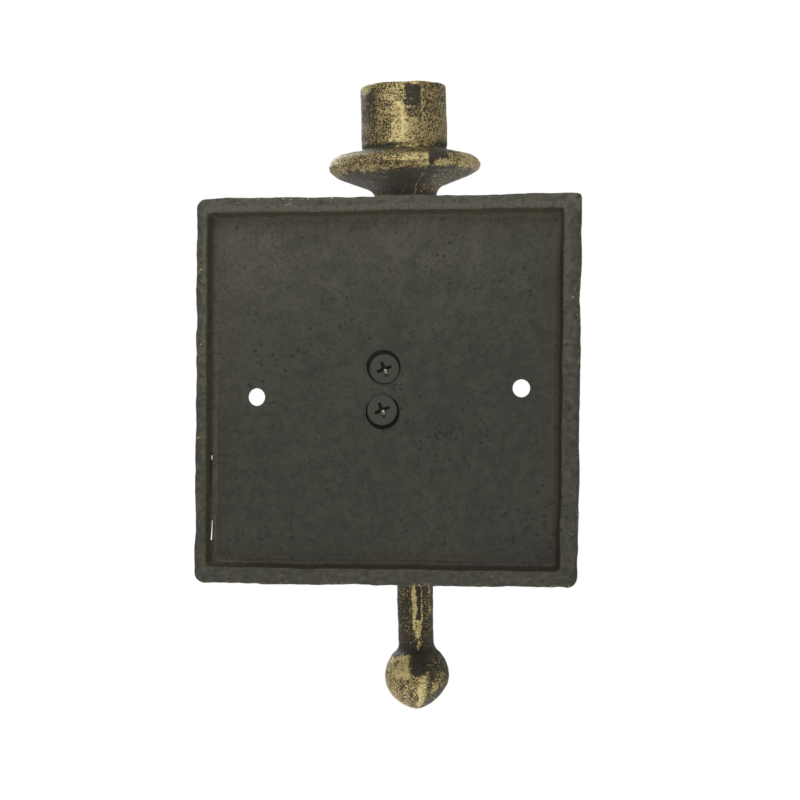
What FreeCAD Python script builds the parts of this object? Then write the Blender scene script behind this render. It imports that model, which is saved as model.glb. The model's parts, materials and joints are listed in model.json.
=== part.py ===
"""Wall sconce for one taper candle: a cast plate, a cast arm, a cast candle post and their fasteners.

Millimetres.  +Z is up, the room is towards -Y and the wall is the plane Y = 0.
The origin is the centre of the rim that rests on the wall.
The castings are drawn with their nominal edges; threads are drawn plain at their outer diameter.
"""
import FreeCAD
import Part
import Sketcher
import math
import os
import re

OUTPUT_FOLDER = "parts"

# Every size is one cell of the sheet: its name, its value and what it is.  Angles are in degrees.
SIZES = [
    ("plate_width", 118.4, "back plate, side to side"),
    ("plate_height", 119.0, "back plate, top to bottom"),
    ("plate_corner", 2.6, "radius of the plate's four corners"),
    ("border_depth", 7.0, "wall to the front of the outer border"),
    ("border_width", 6.0, "outer border, edge to first step"),
    ("band_rise", 1.2, "height of the first step"),
    ("band_width", 5.5, "second band, first step to panel"),
    ("panel_rise", 1.2, "height of the front panel over the band"),
    ("step_draft", 30.0, "slope of the steps' sides"),
    ("rim_side", 4.2, "rim round the hollow back, at the sides"),
    ("rim_end", 4.5, "rim round the hollow back, at top and bottom"),
    ("recess_depth", 5.0, "wall plane to the floor of the hollow"),
    ("recess_draft", 10.0, "slope of the hollow's sides"),
    ("recess_round", 2.0, "fillet along the hollow's floor"),
    ("recess_shift_x", 0.9, "hollow's centre from the plate's, sideways"),
    ("recess_shift_z", 0.3, "hollow's centre from the plate's, upwards"),
    ("wall_pitch", 82.3, "between the two wall screw holes"),
    ("wall_tilt", 1.87, "how far the wall screw holes are off level"),
    ("wall_centre_x", -0.15, "middle of the wall screw holes, sideways"),
    ("wall_centre_z", -0.6, "middle of the wall screw holes, upwards"),
    ("wall_hole_radius", 2.75, "hole for a wall screw"),
    ("wall_sink_radius", 5.1, "countersink for a wall screw, at the front"),
    ("centre_x", 1.3, "arm's axis, sideways from the plate's centre"),
    ("centre_z", 0.35, "arm's axis, upwards from the plate's centre"),
    ("arm_turn", -2.66, "how far the arm is turned on the plate"),
    ("screw_pitch", 12.7, "between the two arm screws"),
    ("screw_radius", 2.5, "outer radius of the arm screws' thread"),
    ("screw_length", 12.0, "arm screw, head included"),
    ("screw_head_radius", 4.6, "flat head of an arm screw"),
    ("screw_head_land", 0.3, "straight edge of the flat head"),
    ("screw_tip", 0.6, "chamfer at the end of the thread"),
    ("cross_span", 4.9, "cross recess, end to end"),
    ("cross_slot", 1.15, "cross recess, width of one slot"),
    ("cross_depth", 2.3, "depth of the cross recess"),
    ("cross_draft", 12.0, "slope of the cross recess's sides"),
    ("upper_sunk", 0.4, "upper head below the hollow's floor"),
    ("lower_proud", 0.45, "lower head above the hollow's floor"),
    ("upper_cross_turn", 21.0, "turn of the upper head's cross"),
    ("lower_cross_turn", 23.0, "turn of the lower head's cross"),
    ("dish_room", 0.9, "radial room for a screw head in its cast dish"),
    ("dish_spread", 1.3, "how much further apart the dishes are than the screws"),
    ("dish_turn", -1.15, "how far the line of the dishes leans"),
    ("dish_depth", 1.1, "depth of a dish in the hollow's floor"),
    ("passing_gap", 0.25, "radial room for a screw in the plate"),
    ("thread_gap", 0.02, "radial room in a thread"),
    ("tap_spare", 1.5, "tapped hole past the end of its screw"),
    ("pad_width", 23.0, "arm's pad, side to side"),
    ("pad_end", 11.65, "arm's pad past its screws, above and below"),
    ("pad_floor", 2.0, "metal between a tapped hole and the pad's front"),
    ("pad_corner", 9.0, "radius of the pad's corners"),
    ("pad_round", 3.0, "rounding of the pad's front edge"),
    ("arm_foot_radius", 10.5, "arm where it leaves the pad"),
    ("arm_foot_length", 9.0, "length of the hollow curve at the foot"),
    ("arm_radius", 6.6, "arm's bar past the foot"),
    ("arm_end_radius", 7.0, "arm's face against the post"),
    ("collar_curve", 2.6, "rounding of the bead behind the arm's end"),
    ("collar_width", 5.0, "bead, along the arm"),
    ("collar_setback", 2.2, "bead to the arm's end face"),
    ("post_reach", 76.0, "wall plane to the post's axis"),
    ("post_lean", 1.355, "lean of the post, turned on its stud"),
    ("stud_radius", 3.0, "outer radius of the stud's thread"),
    ("stud_length", 24.0, "stud, end to end"),
    ("stud_tip", 0.7, "chamfer at the stud's ends"),
    ("knop_radius", 10.6, "ball in the middle of the post"),
    ("seat_room", 0.4, "flat on the knop past the arm's end, all round"),
    ("cup_wall", 2.95, "wall of the candle cup"),
    ("cup_height", 21.4, "cup above the pan"),
    ("cup_lip", 0.9, "rounding of the cup's mouth"),
    ("bore_radius", 11.3, "candle socket, for a 22 mm taper"),
    ("bore_depth", 19.5, "depth of the candle socket"),
    ("pan_height", 80.65, "top of the pan over the arm's axis"),
    ("pan_radius", 25.6, "pan, centre to lip"),
    ("pan_shoulder_inset", 3.2, "lip to where the pan's top turns down"),
    ("pan_shoulder_drop", 2.1, "pan's top to its shoulder"),
    ("pan_lip_drop", 5.1, "pan's top to its widest edge"),
    ("pan_under_inset", 1.4, "lip to where it turns under"),
    ("pan_under_drop", 7.0, "pan's top to the turn under"),
    ("pan_root_flare", 3.3, "neck to where the underside begins"),
    ("pan_root_drop", 11.1, "pan's top to that line"),
    ("neck_radius", 10.5, "neck under the pan"),
    ("neck_drop", 14.9, "pan's top to the neck"),
    ("stem_top_radius", 6.4, "stem under the neck's hollow curve"),
    ("stem_top_drop", 33.0, "pan's top to the stem"),
    ("stem_radius", 6.6, "stem either side of the knop"),
    ("tail_radius", 5.9, "stem just over the ball"),
    ("tail_height", -84.0, "that place, over the arm's axis"),
    ("ball_radius", 10.8, "ball at the foot of the post"),
    ("ball_height", -95.85, "ball's centre, over the arm's axis"),
    ("ball_neck_radius", 7.6, "where the stem flares into the ball"),
    ("cove_curve", 42.0, "hollow curve under the neck"),
    ("lip_curve", 4.5, "rounding of the pan's shoulder"),
    ("under_curve", 2.2, "rounding under the pan's lip"),
    ("root_curve", 4.6, "hollow curve between underside and neck"),
    ("tail_curve", 4.0, "hollow curve between stem and ball"),
    ("foot_curve", 10.5, "hollow curve at the arm's foot"),
]

NAMES = {alias for alias, _, _ in SIZES}

document = FreeCAD.newDocument("wall_sconce")
sheet = document.addObject("Spreadsheet::Sheet", "Sizes")
for row, (alias, size, meaning) in enumerate(SIZES, start=1):
    sheet.set(f"A{row}", meaning)
    sheet.set(f"B{row}", str(size))
    sheet.setAlias(f"B{row}", alias)
document.recompute()

# Places that several pieces share, each worked out from the sheet.
BAND_FRONT = "(border_depth + band_rise)"
PLATE_FRONT = "(border_depth + band_rise + panel_rise)"
UPPER_HEAD = "(recess_depth + upper_sunk)"
LOWER_HEAD = "(recess_depth - lower_proud)"
SINK_DEPTH = "(wall_sink_radius - wall_hole_radius)"
CONE_HEIGHT = "(screw_head_radius - screw_radius)"
TAP_DEPTH = f"({UPPER_HEAD} + screw_length + tap_spare - {PLATE_FRONT})"
PAD_DEPTH = f"({TAP_DEPTH} + pad_floor)"
DISH_RADIUS = "(screw_head_radius + dish_room)"
SEAT_SET = "sqrt(knop_radius ^ 2 - (arm_end_radius + seat_room) ^ 2)"
ARM_END = f"(post_reach - {SEAT_SET})"
CUP_RADIUS = "(bore_radius + cup_wall)"
CUP_TOP = "(pan_height + cup_height)"
STUD_HOLE = "(stud_length / 2 + tap_spare)"


def expr(text):
    """The expression that FreeCAD follows, from one written with the sheet's names alone."""
    return re.sub(r"[a-z_]+", lambda m: f"Sizes.{m[0]}" if m[0] in NAMES else m[0], text)


def value(text):
    """The number that an expression has now."""
    number = sheet.evalExpression(expr(text))
    return float(getattr(number, "Value", number))


def bind(thing, **properties):
    """Tie properties of an object to expressions; a double underscore stands for a dot."""
    for name, text in properties.items():
        thing.setExpression(name.replace("__", "."), expr(text))


def new_body(label, x="0", reach="0", z="0", turn="0"):
    """An empty sub-part, REACH from the wall into the room and turned about the Y axis."""
    body = document.addObject("PartDesign::Body", label)
    body.Label = label
    body.Placement.Rotation = FreeCAD.Rotation(FreeCAD.Vector(0, 1, 0), 1)
    bind(body, Placement__Base__x=x, Placement__Base__y=f"-{reach}", Placement__Base__z=z)
    bind(body, Placement__Rotation__Angle=turn)
    return body


def attach(body, thing, plane="XZ_Plane", x="0", y="0", out="0"):
    """Lay a sketch or a primitive on a plane of its own body.  XZ_Plane faces the room, -Y."""
    support = next(f for f in body.Origin.OriginFeatures if f.Role == plane)
    thing.AttachmentSupport = (support, [""])
    thing.MapMode = "FlatFace"
    bind(thing, AttachmentOffset__Base__x=x, AttachmentOffset__Base__y=y)
    bind(thing, AttachmentOffset__Base__z=out)
    return thing


def arc_edge(start, end, radius):
    """The minor arc between two points, bending left for a positive radius, else right."""
    chord = end - start
    sagitta = abs(radius) - math.sqrt(radius**2 - (chord.Length / 2) ** 2)
    aside = FreeCAD.Vector(chord.y, -chord.x, 0).normalize() * math.copysign(sagitta, radius)
    return Part.Arc(start, (start + end) / 2 + aside, end)


def draw(sketch, stations):
    """Close an outline through stations (x, y) or (x, y, curve), anticlockwise.

    curve is the radius of the arc that leads on from its station, with a minus for a hollow one.
    Each coordinate and each radius is a constraint of the sketch, tied to the sheet.
    """
    points = [FreeCAD.Vector(value(s[0]), value(s[1]), 0) for s in stations]
    ends = []
    for i, station in enumerate(stations):
        after = points[(i + 1) % len(points)]
        if len(station) == 2:
            sketch.addGeometry(Part.LineSegment(points[i], after), False)
            ends.append((1, 2))
            continue
        radius = value(station[2])
        sketch.addGeometry(arc_edge(points[i], after, radius), False)
        ends.append((1, 2) if radius > 0 else (2, 1))
    for i, station in enumerate(stations):
        after = (i + 1) % len(stations)
        joined = ("Coincident", i, ends[i][1], after, ends[after][0])
        sketch.addConstraint(Sketcher.Constraint(*joined))
        rules = [("DistanceX", station[0], points[i].x), ("DistanceY", station[1], points[i].y)]
        for kind, text, now in rules:
            rule = sketch.addConstraint(Sketcher.Constraint(kind, -1, 1, i, ends[i][0], now))
            sketch.setExpression(f"Constraints[{rule}]", expr(text))
        if len(station) == 3:
            size = station[2].lstrip("-")
            rule = sketch.addConstraint(Sketcher.Constraint("Radius", i, value(size)))
            sketch.setExpression(f"Constraints[{rule}]", expr(size))
    return sketch


def sketch_in(body, name, stations, plane="XZ_Plane", x="0", y="0", out="0"):
    """A sketch of its own body, drawn through the stations."""
    sketch = body.newObject("Sketcher::SketchObject", name)
    return draw(attach(body, sketch, plane, x, y, out), stations)


def rectangle(width, height):
    """The four corners of an upright rectangle about the sketch's origin."""
    x, y = f"({width}) / 2", f"({height}) / 2"
    return [(f"-{x}", f"-{y}"), (x, f"-{y}"), (x, y), (f"-{x}", y)]


def pad(body, name, stations, length, draft="0", **place):
    """Material that grows from a sketch towards the room."""
    feature = body.newObject("PartDesign::Pad", name)
    feature.Profile = sketch_in(body, name + "_outline", stations, **place)
    bind(feature, Length=length, TaperAngle=f"-({draft})")
    return feature


def pocket(body, name, stations, depth, draft="0", **place):
    """A hollow that sinks from a sketch towards the room; its volume is checked."""
    document.recompute()
    before = body.Shape.Volume
    feature = body.newObject("PartDesign::Pocket", name)
    feature.Profile = sketch_in(body, name + "_outline", stations, **place)
    feature.Reversed = True
    bind(feature, Length=depth, TaperAngle=f"-({draft})")
    document.recompute()
    if body.Shape.Volume >= before:
        raise RuntimeError(f"{name} cuts nothing from {body.Label}")
    return feature


def turn(body, name, stations, plane):
    """Material turned about the sketch's upright axis, from half an outline."""
    sketch = sketch_in(body, name + "_outline", stations, plane)
    feature = body.newObject("PartDesign::Revolution", name)
    feature.Profile = sketch
    feature.ReferenceAxis = (sketch, ["V_Axis"])
    feature.Angle = 360
    return feature


def primitive(body, kind, name, place, **sizes):
    """A PartDesign primitive laid on one of the body's planes."""
    feature = body.newObject(f"PartDesign::{kind}", name)
    attach(body, feature, **place)
    bind(feature, **sizes)
    return feature


def drill(body, name, x, z, start, depth, radius):
    """A round hole along Y, from START to START + DEPTH towards the room."""
    place = {"x": x, "y": z, "out": start}
    return primitive(body, "SubtractiveCylinder", name, place, Radius=radius, Height=depth)


def sink(body, name, x, z, start, depth, wall_side, room_side):
    """A conical seat along Y, with its radius towards the wall and towards the room."""
    place = {"x": x, "y": z, "out": start}
    sizes = {"Radius1": wall_side, "Radius2": room_side, "Height": depth}
    return primitive(body, "SubtractiveCone", name, place, **sizes)


def finish_edges(body, kind, name, size, wanted):
    """Round or chamfer the edges of the body that WANTED picks."""
    document.recompute()
    base = body.Tip
    names = [f"Edge{i}" for i, e in enumerate(base.Shape.Edges, start=1) if wanted(e)]
    if not names:
        raise RuntimeError(f"{name} finds no edge on {body.Label}")
    feature = body.newObject(f"PartDesign::{kind}", name)
    feature.Base = (base, names)
    bind(feature, **size)
    return feature


def at_depth(edge, depth, tolerance=0.01):
    """Does the whole edge lie in the plane this far from the body's back?"""
    box = edge.BoundBox
    return abs(box.YMin + depth) < tolerance and abs(box.YMax + depth) < tolerance


def runs_along_y(edge, start, end, tolerance=0.01):
    """Does the edge run straight out, from one depth to another?"""
    box = edge.BoundBox
    straight = box.XLength < tolerance and box.ZLength < tolerance
    return straight and abs(box.YMax + start) < tolerance and abs(box.YMin + end) < tolerance


def along(centre, pitch, angle, side):
    """The place of one of two points, SIDE +1 above or -1 below, on a line leaning from Z."""
    x = f"{centre}_x + {side} * {pitch} / 2 * sin({angle})"
    z = f"{centre}_z + {side} * {pitch} / 2 * cos({angle})"
    return x, z


def build_plate():
    """The cast plate: a hollow back with a rim, and a front that rises in two steps."""
    body = new_body("back_plate")
    pad(body, "border", rectangle("plate_width", "plate_height"), "border_depth")
    finish_edges(
        body, "Fillet", "plate_corners", {"Radius": "plate_corner"},
        lambda e: runs_along_y(e, 0, value("border_depth")),
    )
    inner = "2 * border_width"
    band = rectangle(f"plate_width - {inner}", f"plate_height - {inner}")
    pad(body, "band", band, "band_rise", "step_draft", out="border_depth")
    inner = "2 * (border_width + band_width)"
    panel = rectangle(f"plate_width - {inner}", f"plate_height - {inner}")
    pad(body, "panel", panel, "panel_rise", "step_draft", out=BAND_FRONT)
    hollow = rectangle("plate_width - 2 * rim_side", "plate_height - 2 * rim_end")
    shift = {"x": "recess_shift_x", "y": "recess_shift_z"}
    pocket(body, "recess", hollow, "recess_depth", "recess_draft", **shift)
    finish_edges(
        body, "Fillet", "recess_fillet", {"Radius": "recess_round"},
        lambda e: at_depth(e, value("recess_depth")),
    )
    for name, side in (("left", "-1"), ("right", "1")):
        x = f"wall_centre_x + {side} * wall_pitch / 2 * cos(wall_tilt)"
        z = f"wall_centre_z - {side} * wall_pitch / 2 * sin(wall_tilt)"
        drill(body, f"wall_hole_{name}", x, z, "0", PLATE_FRONT, "wall_hole_radius")
        cone = (f"{PLATE_FRONT} - {SINK_DEPTH}", SINK_DEPTH)
        sink(body, f"wall_sink_{name}", x, z, *cone, "wall_hole_radius", "wall_sink_radius")
    for name, side, head in (("upper", "1", UPPER_HEAD), ("lower", "-1", LOWER_HEAD)):
        x, z = along("centre", "(screw_pitch + dish_spread)", "dish_turn", side)
        drill(body, f"dish_{name}", x, z, "0", "recess_depth + dish_depth", DISH_RADIUS)
        x, z = along("centre", "screw_pitch", "arm_turn", side)
        drill(body, f"screw_way_{name}", x, z, "0", PLATE_FRONT, "screw_radius + passing_gap")
        cone = (f"{head} + screw_head_land", CONE_HEIGHT)
        sink(body, f"screw_seat_{name}", x, z, *cone, "screw_head_radius", "screw_radius")
    return body


def build_arm():
    """The cast arm: a pad with two tapped holes, a bar and a beaded end for the post."""
    body = new_body("arm", "centre_x", PLATE_FRONT, "centre_z", "arm_turn")
    pad(body, "foot_pad", rectangle("pad_width", "screw_pitch + 2 * pad_end"), PAD_DEPTH)
    finish_edges(
        body, "Fillet", "pad_corners", {"Radius": "pad_corner"},
        lambda e: runs_along_y(e, 0, value(PAD_DEPTH)),
    )
    finish_edges(
        body, "Fillet", "pad_front", {"Radius": "pad_round"},
        lambda e: at_depth(e, value(PAD_DEPTH)),
    )
    end = f"-({ARM_END} - {PLATE_FRONT})"
    bead = f"{end} + collar_setback"
    bar = [
        ("0", end),
        ("arm_end_radius", end),
        ("arm_end_radius", bead, "collar_curve"),
        ("arm_radius", f"{bead} + collar_width"),
        ("arm_radius", f"-({PAD_DEPTH} + arm_foot_length)", "-foot_curve"),
        ("arm_foot_radius", f"-{PAD_DEPTH}"),
        ("arm_foot_radius", f"-{PAD_DEPTH} / 2"),
        ("0", f"-{PAD_DEPTH} / 2"),
    ]
    turn(body, "bar", bar, "XY_Plane")
    tap = "screw_radius + thread_gap"
    drill(body, "tapped_upper", "0", "screw_pitch / 2", "0", TAP_DEPTH, tap)
    drill(body, "tapped_lower", "0", "-screw_pitch / 2", "0", TAP_DEPTH, tap)
    start = f"{ARM_END} - {PLATE_FRONT} - {STUD_HOLE}"
    drill(body, "tapped_end", "0", "0", start, STUD_HOLE, "stud_radius + thread_gap")
    return body


def build_post():
    """The post, cast in one: candle cup, pan, stem with a knop for the arm, and a ball."""
    body = new_body("candle_post", "centre_x", "post_reach", "centre_z", "post_lean")
    ball_top = "ball_height + sqrt(ball_radius ^ 2 - ball_neck_radius ^ 2)"
    profile = [
        ("0", "ball_height"),
        ("ball_neck_radius", "ball_height"),
        ("ball_neck_radius", ball_top, "-tail_curve"),
        ("tail_radius", "tail_height"),
        ("stem_radius", "0"),
        ("stem_top_radius", "pan_height - stem_top_drop", "-cove_curve"),
        ("neck_radius", "pan_height - neck_drop", "-root_curve"),
        ("neck_radius + pan_root_flare", "pan_height - pan_root_drop"),
        ("pan_radius - pan_under_inset", "pan_height - pan_under_drop", "under_curve"),
        ("pan_radius", "pan_height - pan_lip_drop", "lip_curve"),
        ("pan_radius - pan_shoulder_inset", "pan_height - pan_shoulder_drop"),
        (CUP_RADIUS, "pan_height"),
        (CUP_RADIUS, CUP_TOP),
        ("0", CUP_TOP),
    ]
    turn(body, "stem_pan_cup", profile, "XZ_Plane")
    centre = {"plane": "XY_Plane"}
    primitive(body, "AdditiveSphere", "knop", centre, Radius="knop_radius")
    low = {"plane": "XY_Plane", "out": "ball_height"}
    primitive(body, "AdditiveSphere", "ball", low, Radius="ball_radius")
    floor = {"plane": "XY_Plane", "out": f"{CUP_TOP} - bore_depth"}
    socket = {"Radius": "bore_radius", "Height": "bore_depth"}
    primitive(body, "SubtractiveCylinder", "candle_socket", floor, **socket)
    top = value(CUP_TOP)
    finish_edges(
        body, "Fillet", "cup_mouth", {"Radius": "cup_lip"},
        lambda e: abs(e.BoundBox.ZMin - top) < 0.01 and len(e.Vertexes) == 1,
    )
    drill(body, "arm_seat", "0", "0", "-knop_radius", f"knop_radius - {SEAT_SET}", "knop_radius")
    drill(body, "tapped_knop", "0", "0", f"-{SEAT_SET}", STUD_HOLE, "stud_radius + thread_gap")
    return body


def build_stud():
    """The headless stud, half in the arm's end and half in the post's knop."""
    body = new_body("post_stud", "centre_x", ARM_END, "centre_z")
    half = "stud_length / 2"
    profile = [
        ("0", f"-{half}"),
        ("stud_radius - stud_tip", f"-{half}"),
        ("stud_radius", f"-{half} + stud_tip"),
        ("stud_radius", f"{half} - stud_tip"),
        ("stud_radius - stud_tip", half),
        ("0", half),
    ]
    turn(body, "shank", profile, "XY_Plane")
    return body


def build_arm_screw(name, side, head, cross_turn):
    """A flat-headed machine screw with a cross recess, driven in from the back."""
    x, z = along("centre", "screw_pitch", "arm_turn", side)
    body = new_body(name, x, head, z, cross_turn)
    cone_end = f"-(screw_head_land + {CONE_HEIGHT})"
    profile = [
        ("0", "-screw_length"),
        ("screw_radius - screw_tip", "-screw_length"),
        ("screw_radius", "-screw_length + screw_tip"),
        ("screw_radius", cone_end),
        ("screw_head_radius", "-screw_head_land"),
        ("screw_head_radius", "0"),
        ("0", "0"),
    ]
    turn(body, "head_and_shank", profile, "XY_Plane")
    long, short = "cross_span / 2", "cross_slot / 2"
    cross = [
        (f"-{long}", f"-{short}"), (f"-{short}", f"-{short}"), (f"-{short}", f"-{long}"),
        (short, f"-{long}"), (short, f"-{short}"), (long, f"-{short}"),
        (long, short), (short, short), (short, long),
        (f"-{short}", long), (f"-{short}", short), (f"-{long}", short),
    ]
    pocket(body, "cross_recess", cross, "cross_depth", "cross_draft")
    return body


def sound(body):
    """Is the sub-part one valid solid, with none of its features failed?"""
    failed = [f.Label for f in body.Group + [body] if {"Invalid", "Error"} & set(f.State)]
    if failed:
        raise RuntimeError(f"{body.Label}: {failed} failed")
    shape = body.Shape
    if shape.isNull() or not shape.isValid() or len(shape.Solids) != 1:
        raise RuntimeError(f"{body.Label} is not one valid solid")
    return True


bodies = [
    build_plate(),
    build_arm(),
    build_post(),
    build_stud(),
    build_arm_screw("arm_screw_upper", "1", UPPER_HEAD, "upper_cross_turn"),
    build_arm_screw("arm_screw_lower", "-1", LOWER_HEAD, "lower_cross_turn"),
]
document.recompute()
if all(sound(body) for body in bodies):
    os.makedirs(OUTPUT_FOLDER, exist_ok=True)
    for body in bodies:
        body.Shape.exportStep(os.path.join(OUTPUT_FOLDER, f"{body.Label}.step"))
        box = body.Shape.optimalBoundingBox(False, False)
        size = f"{box.XLength:.2f} x {box.YLength:.2f} x {box.ZLength:.2f} mm"
        print(f"{body.Label}: {size}, {body.Shape.Volume / 1000:.2f} cm3")
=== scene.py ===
"""Looks of a cast wall sconce for one taper candle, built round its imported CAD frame.

Lengths inside the pieces are millimetres and become metres as a mesh is made.  +Z is up, the wall
is the plane Y = 0 and the room is towards -Y.  A bearing turns about an upright axis from the wall's
side, +Y, towards -X.
"""

import json
import logging
import math
from dataclasses import dataclass
from enum import Enum
from functools import partial
from typing import Any, Callable, Sequence

import bpy
import numpy as np
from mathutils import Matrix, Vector

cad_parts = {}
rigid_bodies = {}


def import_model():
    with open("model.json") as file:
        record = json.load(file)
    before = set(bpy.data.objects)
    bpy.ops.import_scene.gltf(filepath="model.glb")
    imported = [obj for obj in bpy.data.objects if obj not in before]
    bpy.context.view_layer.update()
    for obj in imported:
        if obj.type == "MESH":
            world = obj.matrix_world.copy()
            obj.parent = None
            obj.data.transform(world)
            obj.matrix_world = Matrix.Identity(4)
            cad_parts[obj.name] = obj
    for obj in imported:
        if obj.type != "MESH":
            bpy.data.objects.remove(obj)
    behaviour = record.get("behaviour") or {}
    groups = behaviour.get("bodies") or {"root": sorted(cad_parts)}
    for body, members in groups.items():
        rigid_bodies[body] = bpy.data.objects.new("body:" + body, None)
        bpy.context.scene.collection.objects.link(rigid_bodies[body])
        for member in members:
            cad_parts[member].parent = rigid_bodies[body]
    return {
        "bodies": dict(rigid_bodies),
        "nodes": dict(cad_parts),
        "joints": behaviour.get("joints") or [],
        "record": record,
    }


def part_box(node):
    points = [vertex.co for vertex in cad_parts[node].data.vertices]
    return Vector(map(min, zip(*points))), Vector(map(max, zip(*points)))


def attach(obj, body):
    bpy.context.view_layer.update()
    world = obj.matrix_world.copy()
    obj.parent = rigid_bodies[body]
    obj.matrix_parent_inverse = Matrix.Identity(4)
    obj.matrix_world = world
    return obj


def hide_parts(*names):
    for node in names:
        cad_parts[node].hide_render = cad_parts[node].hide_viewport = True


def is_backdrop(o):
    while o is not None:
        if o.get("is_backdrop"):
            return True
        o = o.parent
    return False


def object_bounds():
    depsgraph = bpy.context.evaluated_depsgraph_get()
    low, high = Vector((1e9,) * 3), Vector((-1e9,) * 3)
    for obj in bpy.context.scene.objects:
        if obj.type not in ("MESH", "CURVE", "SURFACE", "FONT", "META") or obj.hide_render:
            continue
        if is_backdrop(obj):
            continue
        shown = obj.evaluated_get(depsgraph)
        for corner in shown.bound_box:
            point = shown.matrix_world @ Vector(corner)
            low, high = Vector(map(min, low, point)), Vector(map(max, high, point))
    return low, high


MM = 0.001
ROOT = "root"
HOLE_COLUMNS = 48
GOLD = "gold"
BARE = "bare"
GRIME = "grime"
# Soot, and painted shade: the hollow's shaded walls, the screws' dishes and the painted shadows round them.
SOOT_AND_SHADE = "soot_and_shade"
# Dust, and painted light: the hollow's lit walls, the rim's top and the floor's upper part.
DUST_AND_LIGHT = "dust_and_light"
# What the columns of a section's table are.
WIDE, TALL, CORNER, DEPTH, LOAD, DIRT, SHIFT, STEP = range(8)

Pair = tuple[float, float]
Triple = tuple[float, float, float]

log = logging.getLogger("wall_sconce")


# ---------------------------------------------------------------- numbers and fields


def smoothstep(low: float, high: float, value: np.ndarray) -> np.ndarray:
    """Ease from 0 at LOW to 1 at HIGH along 3t^2 - 2t^3."""
    t = np.clip((value - low) / (high - low), 0.0, 1.0)
    return t * t * (3.0 - 2.0 * t)


def scramble(cells: np.ndarray, seed: int) -> np.ndarray:
    """Mix whole-number cells (n, 3) and a seed into one well-spread 32-bit number each.

    Args:
        cells: Whole-number cell coordinates.
        seed: A different seed gives an unrelated pattern.

    Returns:
        An unsigned 32-bit number for each cell.
    """
    c = cells.astype(np.int64) & 0xFFFFFFFF
    h = (c[:, 0] * 73856093) ^ (c[:, 1] * 19349663) ^ (c[:, 2] * 83492791) ^ (seed * 40503)
    h &= 0xFFFFFFFF
    for shift, factor in ((16, 0x45D9F3B), (15, 0x2C1B3C6D), (16, 0x297A2D39)):
        h = ((h ^ (h >> shift)) * factor) & 0xFFFFFFFF
    return h ^ (h >> 15)


def gradient_noise(points: np.ndarray, cell: float, seed: int) -> np.ndarray:
    """Gradient noise: each corner of a cubic cell has a random slope, blended by a quintic ease.

    Args:
        points: Places (n, 3) in millimetres.
        cell: Side of a cell in millimetres.
        seed: Which pattern.

    Returns:
        A value for each place, about -1 to 1.
    """
    scaled = points / cell
    base = np.floor(scaled)
    t = scaled - base
    ease = t**3 * (t * (t * 6.0 - 15.0) + 10.0)
    total = np.zeros(len(points))
    for corner in np.ndindex(2, 2, 2):
        offset = np.array(corner)
        mixed = scramble(base + offset, seed)
        turn = (mixed & 0xFFFF) / 65536.0 * 2.0 * math.pi
        lift = (mixed >> 16) / 65536.0 * 2.0 - 1.0
        flat = np.sqrt(1.0 - lift * lift)
        slope = np.stack([np.cos(turn) * flat, np.sin(turn) * flat, lift], axis=1)
        weight = np.prod(np.where(offset == 1, ease, 1.0 - ease), axis=1)
        total += weight * np.sum((t - offset) * slope, axis=1)
    return total * 1.6


def fractal_noise(points: np.ndarray, cell: float, seed: int, octaves: int = 3) -> np.ndarray:
    """Sum of gradient noises, each of half the cell and half the height of the one before.

    Args:
        points: Places (n, 3) in millimetres.
        cell: Side of the coarsest cell in millimetres.
        seed: Which pattern.
        octaves: How many noises are summed.

    Returns:
        A value for each place, about -1 to 1.
    """
    total = np.zeros(len(points))
    for k in range(octaves):
        total += gradient_noise(points, cell / 2**k, seed + 17 * k) / 2**k
    return total


def hammer_marks(points: np.ndarray, spacing: float, seed: int) -> np.ndarray:
    """Dents of a round-faced hammer: squared distance to the nearest of one random point per cell.

    Args:
        points: Places (n, 3) in millimetres.
        spacing: Mean distance between two blows in millimetres.
        seed: Which pattern.

    Returns:
        0 in the middle of each dent, growing to about 1 on the ridges between dents.
    """
    scaled = points / spacing
    base = np.floor(scaled)
    nearest = np.full(len(points), 9.0)
    for corner in np.ndindex(3, 3, 3):
        cell = base + np.array(corner) - 1
        mixed = scramble(cell, seed)
        jitter = np.stack([mixed & 0x3FF, (mixed >> 10) & 0x3FF, (mixed >> 20) & 0x3FF], axis=1)
        away = cell + jitter / 1023.0 - scaled
        nearest = np.minimum(nearest, np.sum(away * away, axis=1))
    return np.clip(nearest, 0.0, 1.0)


def window(rise: Pair, fall: Pair, value: np.ndarray) -> np.ndarray:
    """Ease from 0 to 1 over the RISE pair and back to 0 over the FALL pair, by their product."""
    return smoothstep(*rise, value) * smoothstep(*fall, value)


def bell(value: np.ndarray, width: float) -> np.ndarray:
    """A bell curve: 1 at 0, and e to the minus 1 at WIDTH."""
    return np.exp(-((value / width) ** 2))


@dataclass(frozen=True)
class Relief:
    """A layer of noise: cell in millimetres, height, pattern, octaves and stretch.

    A stretch below 1 draws the noise out along that axis.
    """

    cell: float
    height: float
    seed: int
    octaves: int = 1
    stretch: Triple = (1.0, 1.0, 1.0)

    def at(self, spots: np.ndarray) -> np.ndarray:
        """The layer's value at each place (n, 3)."""
        return self.height * fractal_noise(spots * self.stretch, self.cell, self.seed, self.octaves)


# ---------------------------------------------------------------- meshes


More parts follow.
